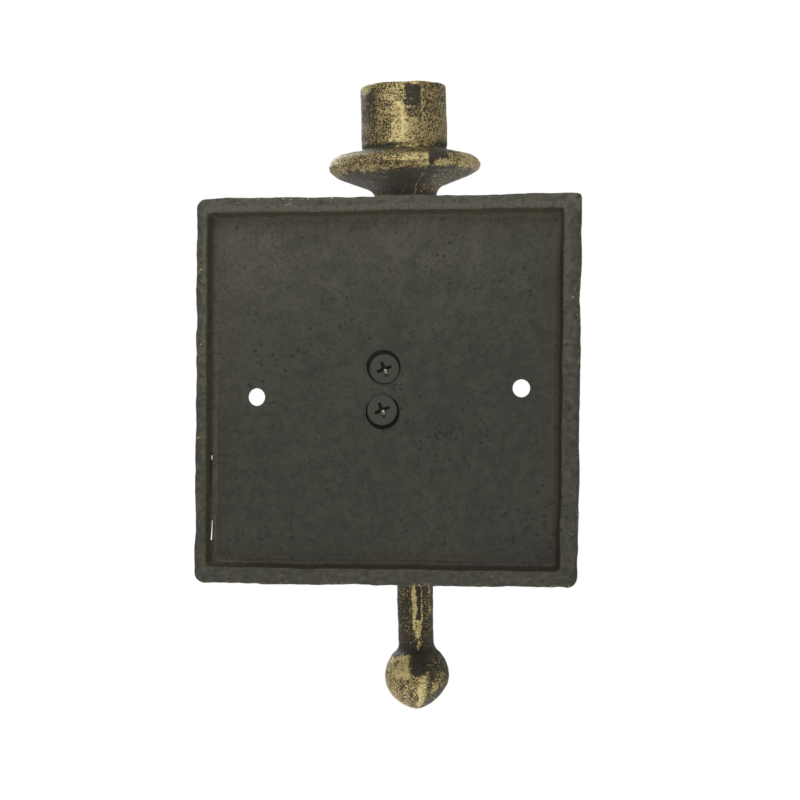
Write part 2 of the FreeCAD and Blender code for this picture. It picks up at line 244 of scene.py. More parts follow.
def grid_mesh(name: str, rings: np.ndarray, first: Sequence[float],
              last: Sequence[float]) -> bpy.types.Object:
    """Skin closed rings into one closed mesh, with a fan to a pole at each end.

    Args:
        name: The piece's name.
        rings: Places (rows, columns, 3) in millimetres; each row is one closed ring.
        first: The pole before the first ring.
        last: The pole after the last ring.

    Returns:
        The piece, linked to the scene, with smooth faces that point outwards.
    """
    rows, columns, _ = rings.shape
    places = np.concatenate([rings.reshape(-1, 3), [first], [last]]) * MM
    i = np.arange(rows - 1)[:, None] * columns
    j = np.arange(columns)[None, :]
    k = (j + 1) % columns
    quads = np.stack([i + j, i + k, i + columns + k, i + columns + j], axis=-1).reshape(-1, 4)
    j, k = j[0], k[0]
    tail = (rows - 1) * columns
    start = np.stack([np.full(columns, rows * columns), k, j], axis=1)
    end = np.stack([np.full(columns, rows * columns + 1), tail + j, tail + k], axis=1)
    mesh = bpy.data.meshes.new(name)
    mesh.from_pydata(places.tolist(), [], start.tolist() + quads.tolist() + end.tolist())
    piece = bpy.data.objects.new(name, mesh)
    bpy.context.scene.collection.objects.link(piece)
    if enclosed_volume(mesh) < 0.0:
        mesh.flip_normals()
    mesh.shade_smooth()
    return piece


def places_of(mesh: bpy.types.Mesh) -> np.ndarray:
    """Read a mesh's points.

    Args:
        mesh: The mesh.

    Returns:
        Places (n, 3) in millimetres.
    """
    flat = np.empty(len(mesh.vertices) * 3)
    mesh.vertices.foreach_get("co", flat)
    return flat.reshape(-1, 3) / MM


def enclosed_volume(mesh: bpy.types.Mesh) -> float:
    """Sum the signed volumes of the tetrahedra between each face and the origin.

    Args:
        mesh: A closed mesh.

    Returns:
        The volume, positive when the faces point outwards.
    """
    mesh.calc_loop_triangles()
    corners = np.empty(len(mesh.loop_triangles) * 3, dtype=np.int64)
    mesh.loop_triangles.foreach_get("vertices", corners)
    a, b, c = np.moveaxis(places_of(mesh)[corners.reshape(-1, 3)], 1, 0)
    return float(np.sum(a * np.cross(b, c))) / 6.0


def outward_normals(rings: np.ndarray, row: int) -> np.ndarray:
    """Unit normals of a grid of rings: the cross product of its two directions.

    Args:
        rings: Places (rows, columns, 3) round the Z axis; each row is closed.
        row: A ring whose outside faces away from the axis.

    Returns:
        A normal for each place, all on the outer side of the surface.
    """
    along = np.gradient(rings, axis=0)
    around = np.roll(rings, -1, axis=1) - np.roll(rings, 1, axis=1)
    normals = np.cross(along, around)
    length = np.linalg.norm(normals, axis=2, keepdims=True)
    normals = normals / np.maximum(length, 1e-9)
    return normals * np.sign(np.sum(normals[row] * rings[row] * [1.0, 1.0, 0.0]))


def turned_rings(profile: np.ndarray, columns: int) -> np.ndarray:
    """Carry a profile (radius, height) round the Z axis: x = r sin b, y = r cos b, z = height.

    Args:
        profile: Stations (rows, 2) in millimetres.
        columns: Places round each ring.

    Returns:
        Rings (rows, columns, 3).  Column 0 faces +Y and the bearing grows towards -X.
    """
    bearing = np.linspace(0.0, 2.0 * math.pi, columns, endpoint=False)
    radius, height = profile[:, :1], profile[:, 1:]
    x = -radius * np.sin(bearing)
    y = radius * np.cos(bearing)
    return np.stack([x, y, np.broadcast_to(height, x.shape)], axis=2)


@dataclass(frozen=True)
class Station:
    """A corner of a profile, and how the run from it to the next one goes.

    A bow above 0 is the radius of an arc that bulges away from the metal's inside, and below 0 of
    a hollow one.  0 is straight.
    """

    reach: float
    height: float
    gold: float = 0.0
    bow: float = 0.0
    step: float = 0.5


def trace(stations: Sequence[Station]) -> np.ndarray:
    """Walk a profile through its stations, along straight runs and arcs.

    An arc's centre lies on the normal at the middle of its chord, sqrt(bow^2 - (chord/2)^2) away.

    Args:
        stations: Corners in order, with the outside on the right of the way they go.

    Returns:
        Reach, height and gold load (rows, 3) of each step.
    """
    rows = [np.array([[stations[0].reach, stations[0].height, stations[0].gold]])]
    for here, there in zip(stations, stations[1:]):
        start = np.array([here.reach, here.height])
        end = np.array([there.reach, there.height])
        chord = end - start
        length = float(np.hypot(*chord))
        count = max(1, round(length / here.step))
        t = np.arange(1, count + 1) / count
        run = start + t[:, None] * chord
        if here.bow:
            side = np.array([-chord[1], chord[0]]) / length * math.copysign(1.0, here.bow)
            centre = (start + end) / 2.0 + side * math.sqrt(here.bow**2 - length**2 / 4.0)
            away = run - centre
            run = centre + away / np.linalg.norm(away, axis=1, keepdims=True) * abs(here.bow)
        gold = here.gold + (there.gold - here.gold) * t
        rows.append(np.column_stack([run, gold]))
    return np.concatenate(rows)


def rounded_rings(half_x: np.ndarray, half_z: np.ndarray, corner: np.ndarray, per_side: int,
                  hold: float) -> np.ndarray:
    """Rounded rectangles: a point on a small rectangle plus a point on a disc of the corner's radius.

    Args:
        half_x: Half width of each ring (rows,).
        half_z: Half height of each ring (rows,).
        corner: Corner radius of each ring (rows,), at most the half sizes.
        per_side: Places along each side.
        hold: Share of a side's places that are on its straight part.  With 0 the disc turns all
            the way along, which makes a circle where the corner is the half sizes.

    Returns:
        X and Z of each place (rows, 4 * per_side, 2).
    """
    along = np.arange(per_side) / per_side * 2.0 - 1.0
    share = np.abs(along)
    reach = np.clip(share / hold, 0.0, 1.0) if hold else share
    bend = np.clip((share - hold) / (1.0 - hold), 0.0, 1.0) if hold else share**1.6
    angle = bend * math.pi / 4.0 * np.sign(along)
    square = np.stack([np.ones(per_side), reach * np.sign(along)], axis=1)
    disc = np.stack([np.cos(angle), np.sin(angle)], axis=1)
    quarter = np.array([[0.0, 1.0], [-1.0, 0.0]])
    turns = [np.linalg.matrix_power(quarter, k) for k in range(4)]
    square = np.concatenate([square @ turn for turn in turns])
    disc = np.concatenate([disc @ turn for turn in turns])
    straight = np.stack([half_x - corner, half_z - corner], axis=1)
    return square * straight[:, None, :] + disc * corner[:, None, None]


def cut_away(piece: bpy.types.Object, cutters: Sequence[bpy.types.Object]) -> None:
    """Take cutters out of a piece with exact booleans, one after the other, and remove them.

    Args:
        piece: The piece, whose mesh is replaced by the cut one.
        cutters: Closed meshes.
    """
    for cutter in cutters:
        boolean = piece.modifiers.new("cut", "BOOLEAN")
        boolean.operation = "DIFFERENCE"
        boolean.solver = "EXACT"
        boolean.object = cutter
    graph = bpy.context.evaluated_depsgraph_get()
    whole = piece.data
    piece.data = bpy.data.meshes.new_from_object(piece.evaluated_get(graph), depsgraph=graph)
    piece.data.name = piece.name
    piece.modifiers.clear()
    bpy.data.meshes.remove(whole)
    for cutter in cutters:
        bpy.data.meshes.remove(cutter.data)


def store(mesh: bpy.types.Mesh, name: str, values: np.ndarray) -> None:
    """Keep one number per point on the mesh, for its material to read.

    Args:
        mesh: The mesh.
        name: The attribute's name.
        values: A number for each point, or for each but the two poles, which then take 0.
    """
    values = np.append(values, np.zeros(len(mesh.vertices) - len(values)))
    layer = mesh.attributes.new(name, "FLOAT", "POINT")
    layer.data.foreach_set("value", values.astype(np.float32))


# ---------------------------------------------------------------- finishes


class Slot(Enum):
    """The record's material slots."""

    PLATE = "plate_casting"
    ARM = "arm_casting"
    POST = "post_casting"
    STUD = "stud_steel"
    SCREW = "screw_steel"


def linear(hex_colour: str) -> tuple[float, float, float, float]:
    """Undo the sRGB curve of a hex colour.

    Args:
        hex_colour: Red, green and blue, two hex digits each.

    Returns:
        Linear red, green, blue and 1.
    """
    channels = [int(hex_colour[i:i + 2], 16) / 255.0 for i in (0, 2, 4)]
    low = [c / 12.92 if c <= 0.04045 else ((c + 0.055) / 1.055) ** 2.4 for c in channels]
    return (low[0], low[1], low[2], 1.0)


Wire = bpy.types.NodeSocket
Adder = Callable[..., Wire]


def add_node(tree: bpy.types.NodeTree, kind: str, inputs: dict[int | str, Any], out: int | str = 0,
             **settings: Any) -> Wire | None:
    """Add one shader node, set it up and connect it.

    Args:
        tree: The node tree.
        kind: The node's type without its ShaderNode prefix.
        inputs: Values or sockets for its inputs, by number or name.
        out: The output that is wanted, by number or name.
        settings: Properties of the node itself.

    Returns:
        The wanted output, or None from a node that has none.
    """
    node = tree.nodes.new(f"ShaderNode{kind}")
    for key, value in settings.items():
        setattr(node, key, value)
    for key, value in inputs.items():
        if isinstance(value, Wire):
            tree.links.new(value, node.inputs[key])
        else:
            node.inputs[key].default_value = value
    return node.outputs[out] if len(node.outputs) else None


@dataclass(frozen=True)
class Speckle:
    """A noise in a finish: its coarsest cell in millimetres, how far it is refined, and how strongly."""

    cell_mm: float
    detail: float
    roughness: float = 0.6

    def wire(self, add: Adder, place: Wire, out: int = 0) -> Wire:
        """Lay the noise out over the piece.

        Args:
            add: Adds a node to the material.
            place: The Object coordinates.
            out: 0 for its value, 1 for its colour.

        Returns:
            The noise's socket.
        """
        scale = 1.0 / MM / self.cell_mm
        inputs = {"Vector": place, "Scale": scale, "Detail": self.detail, "Roughness": self.roughness}
        return add("TexNoise", inputs, out)


@dataclass(frozen=True)
class Finish:
    """A finish: one shader, and what feeds it."""

    name: str
    specular: float = 0.3

    def build(self) -> bpy.types.Material:
        """Make the material.

        Returns:
            The material, which reads Object coordinates and the piece's attributes.
        """
        material = bpy.data.materials.new(self.name)
        material.use_nodes = True
        material.node_tree.nodes.clear()
        add = partial(add_node, material.node_tree)
        surface = self.surface(add, add("TexCoord", {}, "Object"))
        shader = add("BsdfPrincipled", {**surface, "Specular IOR Level": self.specular})
        add("OutputMaterial", {0: shader})
        return material

    def surface(self, add: Adder, place: Wire) -> dict[str, Wire]:
        """Feed the shader; each finish has its own way.

        Args:
            add: Adds a node to the material.
            place: The Object coordinates.

        Returns:
            The sockets that feed the shader, by its inputs' names.
        """
        raise NotImplementedError

    def ease(self, add: Adder, value: Wire, ends: Pair) -> Wire:
        """Ease a value from 0 at the first end to 1 at the second, which may be the lower one.

        Args:
            add: Adds a node to the material.
            value: What is eased.
            ends: Where it gives 0 and where it gives 1.

        Returns:
            The eased value's socket.
        """
        turned = ends[0] > ends[1]
        inputs = {"Value": value, 1: min(ends), 2: max(ends), 3: float(turned), 4: float(not turned)}
        return add("MapRange", inputs, interpolation_type="SMOOTHSTEP")

    def blend(self, add: Adder, share: Wire, under: Wire | str, over: Wire | str) -> Wire:
        """Mix two colours, each a socket or an sRGB hex colour.

        Args:
            add: Adds a node to the material.
            share: How much of OVER shows.
            under: The colour at 0.
            over: The colour at 1.

        Returns:
            The mixed colour's socket.
        """
        ends = [linear(c) if isinstance(c, str) else c for c in (under, over)]
        return add("Mix", {"Factor": share, 6: ends[0], 7: ends[1]}, 2, data_type="RGBA")


@dataclass(frozen=True)
class CastingPaint(Finish):
    """Sand-cast iron under matt dark bronze paint, with gold dragged over it from a dry brush.

    The paint lies in every pit and gives a soft, almost black brown; the gold is a metal-flake
    paint that only takes on the high grains of the casting, so it breaks up into specks where the
    brush ran dry and closes to a smooth skin where it was loaded.
    """

    paint: str = "27261d"
    faded: str = "323127"
    # pale colour for dust and for painted light
    dusty_and_lit: str = "4a483c"
    brown: str = "413a28"
    # near black for soot and pits, and for the painted shade
    soot_and_shade: str = "0a0804"
    gold_thin: str = "6a583a"  # where so little took that the brown shows through
    gold: str = "958558"
    gold_bright: str = "c9b984"
    grain: Speckle = Speckle(0.64, 3.0)  # the sand's marks
    fine: Speckle = Speckle(0.3, 2.0)  # the finest grit, twice as coarse as real so that it shows
    cloud: Speckle = Speckle(26.0, 5.0)  # slow fading
    smear: Speckle = Speckle(3.0, 5.0)
    mottle: Speckle = Speckle(1.3, 3.0)
    fine_share: float = 0.6  # weight of the grit beside the grain
    break_up: float = 3.4  # how strongly the grain breaks the gold up
    took: Pair = (0.44, 0.58)  # broken load over which the gold closes
    brushed: Pair = (0.0, 0.1)  # load below which no brush came
    cloud_share: float = 0.45  # weight of the fading beside the smears
    fades: Pair = (0.54, 0.94)
    settles: Pair = (0.0, 1.1)  # dust, painted light and grain over which the pale colour covers the paint
    pit_dark: float = 0.7
    mottle_share: float = 1.4  # weight of the mottling beside the grit
    shades: Pair = (1.25, 0.85)  # mottling over which the paint darkens
    shade_dark: float = 0.55
    thickens: Pair = (0.45, 0.95)  # from thin gold to full gold
    smear_share: float = 1.2  # weight of the smears in the glints
    glints: Pair = (1.35, 2.1)  # from full gold to bright gold
    gold_metal: float = 0.7
    rough: float = 0.6
    gold_rough: float = 0.48
    pit_sink: float = 0.9  # depth of a pit beside the grain's height
    bump: float = 0.8
    bump_mm: float = 0.16  # height of the grain
    pit_mm: float = 1.9  # spacing of the places where a pit may be
    pit_edge: Speckle = Speckle(0.5, 2.0, 0.5)  # what makes a pit's outline ragged
    pit_edge_mm: float = 0.5
    pit_soft: Pair = (0.0, 0.05)
    soot_and_shade_crowd: float = 1.1  # how much the soot and the painted shade crowd the pits
    cloud_crowd: float = 2.6  # how much the slow noise crowds them
    pit_chance: Pair = (1.78, 2.6)  # crowding from which pits appear and at which they are full size
    pit_size: float = 0.32  # largest pit, as a share of the spacing

    def surface(self, add: Adder, place: Wire) -> dict[str, Wire]:
        """Faded, dusted, sooty and pitted paint over cast grain, lightened by painted light and darkened by
        painted shade where the attributes say, with gold where the load tops the grain.

        Args:
            add: Adds a node to the material.
            place: The Object coordinates.

        Returns:
            The sockets that feed the shader, by its inputs' names.
        """
        layers = (self.grain, self.fine, self.cloud, self.smear)
        grain, fine, cloud, smear = [layer.wire(add, place) for layer in layers]
        rise = add("Math", {0: fine, 1: self.fine_share, 2: grain}, operation="MULTIPLY_ADD")
        names = (GOLD, GRIME, SOOT_AND_SHADE, DUST_AND_LIGHT)
        load, grime, soot_and_shade, dust_and_light = [add("Attribute", {}, "Fac", attribute_name=name) for name in names]
        crowd = add("Math", {0: soot_and_shade, 1: self.soot_and_shade_crowd, 2: cloud}, operation="MULTIPLY_ADD")
        pits = self.pits(add, place, crowd)

        even = -0.5 * (1.0 + self.fine_share) * self.break_up
        broken = add("Math", {0: rise, 1: self.break_up, 2: even}, operation="MULTIPLY_ADD")
        loaded = add("Math", {0: load, 1: broken}, operation="ADD")
        took = self.ease(add, loaded, self.took)
        brushed = self.ease(add, load, self.brushed)
        skin = add("Math", {0: took, 1: brushed}, operation="MULTIPLY")

        faded = add("Math", {0: cloud, 1: self.cloud_share, 2: smear}, operation="MULTIPLY_ADD")
        dark = self.blend(add, self.ease(add, faded, self.fades), self.paint, self.faded)
        # dust and painted light lighten the paint where the grain stands high
        settled = add("Math", {0: dust_and_light, 1: rise}, operation="MULTIPLY")
        dark = self.blend(add, self.ease(add, settled, self.settles), dark, self.dusty_and_lit)
        dark = self.blend(add, grime, dark, self.brown)
        worn = add("Math", {0: pits, 1: self.pit_dark}, operation="MULTIPLY")
        # soot and painted shade darken the paint as the pits do
        worn = add("Math", {0: worn, 1: soot_and_shade}, operation="MAXIMUM")
        mottle = self.mottle.wire(add, place)
        shade = add("Math", {0: mottle, 1: self.mottle_share, 2: fine}, operation="MULTIPLY_ADD")
        shade = self.ease(add, shade, self.shades)
        shade = add("Math", {0: shade, 1: self.shade_dark}, operation="MULTIPLY")
        worn = add("Math", {0: worn, 1: shade}, operation="MAXIMUM")
        dark = self.blend(add, worn, dark, self.soot_and_shade)

        tint = self.blend(add, self.ease(add, loaded, self.thickens), self.gold_thin, self.gold)
        glint = add("Math", {0: smear, 1: self.smear_share, 2: loaded}, operation="MULTIPLY_ADD")
        tint = self.blend(add, self.ease(add, glint, self.glints), tint, self.gold_bright)
        colour = self.blend(add, skin, dark, tint)
        metal = add("Math", {0: skin, 1: self.gold_metal}, operation="MULTIPLY")
        rough = add("MapRange", {"Value": skin, 3: self.rough, 4: self.gold_rough})
        sunk = add("Math", {0: pits, 1: -self.pit_sink, 2: rise}, operation="MULTIPLY_ADD")
        bump = add("Bump", {"Strength": self.bump, "Distance": self.bump_mm * MM, "Height": sunk})
        return {"Base Color": colour, "Metallic": metal, "Roughness": rough, "Normal": bump}

    def pits(self, add: Adder, place: Wire, cloud: Wire) -> Wire:
        """Gas pits: discs of random size round scattered points, crowded where the cloud is thick.

        Args:
            add: Adds a node to the material.
            place: The Object coordinates.
            cloud: A slow noise.

        Returns:
            A socket that is 1 in a pit and 0 outside.
        """
        ragged = self.pit_edge.wire(add, place, 1)
        nudge = add("VectorMath", {0: ragged, "Scale": self.pit_edge_mm * MM}, operation="SCALE")
        moved = add("VectorMath", {0: place, 1: nudge}, operation="ADD")
        inputs = {"Vector": moved, "Randomness": 1.0, "Scale": 1.0 / MM / self.pit_mm}
        cell = add("TexVoronoi", inputs, "Color", feature="F1")
        chance = add("SeparateColor", {0: cell})
        crowd = add("Math", {0: cloud, 1: self.cloud_crowd, 2: chance}, operation="MULTIPLY_ADD")
        low, high = self.pit_chance
        size = add("MapRange", {"Value": crowd, 1: low, 2: high, 3: 0.0, 4: self.pit_size})
        inside = add("Math", {0: size, 1: cell.node.outputs["Distance"]}, operation="SUBTRACT")
        return self.ease(add, inside, self.pit_soft)


@dataclass(frozen=True)
class PlatedSteel(Finish):
    """Zinc-plated steel: a warm grey metal, brushed by the die that cut its thread.

    Where the piece's bare attribute is 0 the plating is under the casting's dark paint.
    """

    steel: str = "dcd8c4"
    paint: str = "302f27"
    streak: Speckle = Speckle(0.6, 3.0, 0.5)
    streak_share: float = 0.6  # how much the streaks fray the paint's edge
    chips: Pair = (0.7, 0.95)
    paint_rough: float = 0.55
    steel_rough: float = 0.3
    bump: float = 0.5
    bump_mm: float = 0.03

    def surface(self, add: Adder, place: Wire) -> dict[str, Wire]:
        """Steel where the paint is chipped off, and paint elsewhere.

        Args:
            add: Adds a node to the material.
            place: The Object coordinates.

        Returns:
            The sockets that feed the shader, by its inputs' names.
        """
        streak = self.streak.wire(add, place)
        bare = add("Attribute", {}, "Fac", attribute_name=BARE)
        chipped = add("Math", {0: streak, 1: self.streak_share, 2: bare}, operation="MULTIPLY_ADD")
        metal = self.ease(add, chipped, self.chips)
        colour = self.blend(add, metal, self.paint, self.steel)
        rough = add("MapRange", {"Value": metal, 3: self.paint_rough, 4: self.steel_rough})
        bump = add("Bump", {"Strength": self.bump, "Distance": self.bump_mm * MM, "Height": streak})
        return {"Base Color": colour, "Metallic": metal, "Roughness": rough, "Normal": bump}


# ---------------------------------------------------------------- sub-assemblies


@dataclass(frozen=True)
class Stand:
    """Where a piece's own X, Y and Z axes lie in the CAD frame, in millimetres."""

    origin: np.ndarray
    x: np.ndarray
    y: np.ndarray
    z: np.ndarray

    def place(self, local: np.ndarray) -> np.ndarray:
        """Carry places (..., 3) from the piece's own axes into the CAD frame."""
        return self.origin + local @ np.stack([self.x, self.y, self.z])

    def skin(self, name: str, rings: np.ndarray, ends: Sequence[float]) -> bpy.types.Object:
        """Skin rings, with a pole on the Z axis at each end.

        Args:
            name: The piece's name.
            rings: Places (rows, columns, 3) on the piece's own axes.
            ends: Heights of the two poles.

        Returns:
            The piece, in the CAD frame.
        """
        poles = [self.place(np.array([0.0, 0.0, z])) for z in ends]
        return grid_mesh(name, self.place(rings), *poles)

    def turn(self, name: str, profile: Sequence[Pair], columns: int) -> bpy.types.Object:
        """Turn a closed piece about the Z axis.

        Args:
            name: The piece's name.
            profile: Radius and height of each corner.
            columns: Places round each ring.

        Returns:
            The piece, in the CAD frame.
        """
        corners = np.array(profile)
        return self.skin(name, turned_rings(corners, columns), corners[[0, -1], 1])


def facing_wall(centre: Sequence[float], turn: float) -> Stand:
    """A stand whose Z axis points at the wall, along +Y, turned about it.

    Args:
        centre: The origin in millimetres.
        turn: Degrees from +X towards -Z.

    Returns:
        The stand.
    """
    c, s = math.cos(math.radians(turn)), math.sin(math.radians(turn))
    x = np.array([c, 0.0, -s])
    y = np.array([-s, 0.0, -c])
    return Stand(np.array(centre, float), x, y, np.array([0.0, 1.0, 0.0]))


def box_mm(node: str) -> tuple[np.ndarray, np.ndarray, np.ndarray]:
    """Read a CAD node's box.

    Args:
        node: The node.

    Returns:
        Its lowest corner, highest corner and middle in millimetres.
    """
    low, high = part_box(node)
    low, high = np.array(low) / MM, np.array(high) / MM
    return low, high, (low + high) / 2.0


def mount_of(frame: dict[str, Any], name: str) -> dict[str, Any]:
    """The record's mount of that name."""
    return next(m for m in frame["record"]["mounts"] if m["name"] == name)


def settle(piece: bpy.types.Object, slot: Slot, material: bpy.types.Material, sharp: float,
           *nodes: str) -> None:
    """Dress a piece and let it stand for CAD nodes.

    Args:
        piece: The piece.
        slot: The record's material slot; not used.
        material: Its finish.
        sharp: Degrees beyond which an edge stays sharp.
        nodes: The CAD nodes that it replaces.
    """
    piece.data.materials.clear()
    piece.data.materials.append(material)
    piece.data.shade_smooth()
    piece.data.set_sharp_from_angle(angle=math.radians(sharp))
    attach(piece, ROOT)
    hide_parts(*nodes)
    log.info("%s: %d faces, %s", piece.name, len(piece.data.polygons), material.name)


def wrapped(degrees: np.ndarray) -> np.ndarray:
    """Bring angles in degrees to between -180 and 180."""
    return (degrees + 180.0) % 360.0 - 180.0


@dataclass(frozen=True)
class Around:
    """Where each place of the turned post lies: along its axis, round it, and from the mould's seam."""

    spots: np.ndarray
    height: np.ndarray
    bearing: np.ndarray  # degrees
    reach: np.ndarray  # millimetres from the axis
    off_seam: np.ndarray  # degrees
    across: np.ndarray  # millimetres from the seam
    outside: np.ndarray  # True up to the cup's mouth


@dataclass(frozen=True)
class Stroke:
    """One touch of the gold brush: a patch in height and bearing, with its load of paint.

    A load of 1 or more lays a closed skin, about 0.5 breaks up on the grain, and 0 or less leaves
    the dark paint bare.
    """

    low: float
    high: float
    bearing: float
    spread: float
    load: float
    taper: float = 1.0  # spread at the low end as a share of that at the high end
    edge: float = 2.0  # softness of the patch's edge in millimetres
    ragged_from: float = 10.0  # softness times spread from which the edge is fully ragged

    def lay(self, around: Around, ragged: np.ndarray, load: np.ndarray) -> np.ndarray:
        """Blend this touch into the load of paint.

        Args:
            around: Where each place lies.
            ragged: How far the patch's edge is out at each place, in millimetres.
            load: The load so far.

        Returns:
            The load with this touch in it.
        """
        level = np.clip((around.height - self.low) / (self.high - self.low), 0.0, 1.0)
        spread = self.spread * (self.taper + (1.0 - self.taper) * level)
        away = np.abs(wrapped(around.bearing - self.bearing))
        ragged = ragged * min(1.0, self.edge * self.spread / self.ragged_from)
        height = around.height + ragged
        soft = (-self.edge / 2.0, self.edge / 2.0)
        within = smoothstep(*soft, np.radians(spread - away) * around.reach + ragged)
        within = within * smoothstep(*soft, height - self.low) * smoothstep(*soft, self.high - height)
        return load + (self.load - load) * within


@dataclass
class PostCasting:
    """The upright casting: ball, stem with its knop, drip pan and candle cup, in one pour."""

    columns: int = 196
    sharp: float = 50.0
    mount_height: float = 91.85  # socket mount over the arm's axis
    knop_radius: float = 10.6
    seat: float = 7.589  # knop's flat for the arm, from the axis
    ball_radius: float = 10.8
    ball_height: float = -95.85
    ball_neck: float = 7.6
    tail_radius: float = 5.9
    tail_height: float = -84.0
    stem_radius: float = 6.6
    stem_top_radius: float = 6.4
    stem_top: float = 47.65
    neck_radius: float = 10.5
    neck: float = 65.75
    cup_radius: float = 14.4
    cup_top: float = 102.6
    bore_radius: float = 11.3
    bore_floor: float = 82.55
    stud_hole: float = 3.02
    stud_depth: float = 13.0
    seam_bearing: float = 24.5  # where the mould's halves met, at the pan
    seam_height: float = 0.14
    seam_width: float = 0.3
    seam_turn: float = 8.0  # how far round the seam wanders, in degrees, from the pan to the ball
    seam_turns: Pair = (40.0, -40.0)  # heights between which it does so
    seam_shift: float = 0.28  # how far the halves were out of line
    seam_step: Pair = (-0.3, 0.3)
    step_from: Pair = (66.0, 72.0)  # heights over which the step sets in
    step_to: Pair = (82.0, 80.0)  # and over which it ends
    half_turn: float = 90.0  # degrees from the seam up to which its own half reaches
    seam_share: float = 0.6
    seam_wear: Relief = Relief(3.0, 0.6, 5, 1, (0.2, 0.2, 1.0))
    lumps: Relief = Relief(7.0, 0.17, 11, 3)
    grit: Relief = Relief(1.1, 0.0595, 23)
    facets: Relief = Relief(8.0, 0.04, 71)
    pan_under: Pair = (76.0, 74.0)
    pan_lip: Pair = (26.0, 22.0)  # reach over which the lip stays where it is
    pan_droop: Pair = (0.3, 0.75)  # all round, and more on the +X side
    shoulder_from: Pair = (75.5, 77.5)
    shoulder_reach: Pair = (15.0, 18.0)
    shoulder_lift: float = 0.7
    foot: Pair = (-2.0, -9.5)  # heights from the ball's middle between which its foot is drawn in
    foot_side: Pair = (1.0, -7.0)
    foot_pull: Pair = (0.02, 0.12)  # all round, and more on the side away from +X
    tip_reach: Pair = (5.0, 0.0)
    tip_drop: float = 0.45
    tip_aside: float = 0.5
    tip_lean: float = 0.6
    patches: Relief = Relief(9.0, 0.16, 31, 2, (1.0, 1.0, 0.6))
    brush_edge: Relief = Relief(3.2, 0.9, 97, 3)
    streaks: Relief = Relief(0.9, 1.0, 67, 1, (0.12, 0.12, 1.0))
    clumps: Relief = Relief(2.4, 1.0, 37)
    cup_from: Pair = (83.0, 90.0)
    streaking: Pair = (0.24, 0.5)  # all round the cup, and more by its brightest mark
    mark_bearing: float = 19.0
    mark_spread: Pair = (12.0, 4.0)
    clumping: Pair = (0.1, 0.14)  # all over, and more on the ball
    ball_from: Pair = (-85.0, -90.0)
    seam_load: float = 0.75
    seam_brush: float = 0.28  # width of the gold on the seam's ridge
    brushed_from: Pair = (40.0, 50.0)  # the ridge was brushed on the neck and under the pan only
    brushed_to: Pair = (80.5, 79.0)
    grime: float = 0.3
    grime_load: Pair = (0.5, 0.0)
    normal_row: int = 5  # a ring on the ball's underside

    def stations(self) -> list[Station]:
        """The profile from under the ball, up the outside, over the lip and down the bore.

        Returns:
            The stations, with the base load of gold that the brush left at each.
        """
        ball_top = self.ball_height + math.sqrt(self.ball_radius**2 - self.ball_neck**2)
        low_cut = self.stem_radius - 0.07
        knop = math.sqrt(self.knop_radius**2 - low_cut**2)
        ball = self.ball_radius
        return [
            Station(0.25, self.ball_height - ball + 0.003, 0.62, ball, 0.45),
            Station(ball, self.ball_height, 0.62, ball, 0.45),
            Station(self.ball_neck, ball_top, 0.05, -4.0, 0.4),
            Station(self.tail_radius, self.tail_height, 0.12, 0.0, 0.6),
            Station(self.tail_radius + 0.05, self.tail_height + 6.0, 0.16, 0.0, 0.7),
            Station(self.stem_radius - 0.1, -12.0, 0.25, 0.0, 0.6),
            Station(low_cut, -knop, 0.05, self.knop_radius, 0.5),
            Station(self.knop_radius, 0.0, 0.75, self.knop_radius, 0.5),
            Station(low_cut, knop, 0.05, 0.0, 0.6),
            Station(self.stem_radius - 0.08, 14.0, 0.36, 0.0, 0.7),
            Station(self.stem_top_radius, self.stem_top, 0.3, -42.0, 0.6),
            Station(self.neck_radius, self.neck, 0.08, -4.6, 0.4),
            Station(13.8, 69.55, 0.05, 0.0, 0.4),
            Station(23.6, 73.4, 0.04, 0.0, 0.4),
            Station(24.2, 73.65, 0.4, 2.2, 0.35),
            Station(25.6, 75.55, 0.8, 4.5, 0.35),
            Station(22.4, 78.55, 0.25, 0.0, 0.35),
            Station(15.2, 80.3, 0.4, -1.2, 0.3),
            Station(self.cup_radius - 0.25, 81.3, 0.0, 0.0, 0.3),
            Station(self.cup_radius, 82.3, 0.3, 0.0, 0.4),
            Station(self.cup_radius, 84.5, 0.67, 0.0, 0.4),
            Station(self.cup_radius, self.cup_top - 0.9, 0.62, 0.9, 0.25),
            Station(self.cup_radius - 0.9, self.cup_top, 0.7, 0.0, 0.3),
            Station(self.bore_radius + 0.8, self.cup_top, 0.5, 0.8, 0.25),
            Station(self.bore_radius, self.cup_top - 0.8, 0.15, 0.0, 0.6),
            Station(self.bore_radius, self.bore_floor, -0.2, 0.0, 0.8),
            Station(0.3, self.bore_floor, -0.2),
        ]

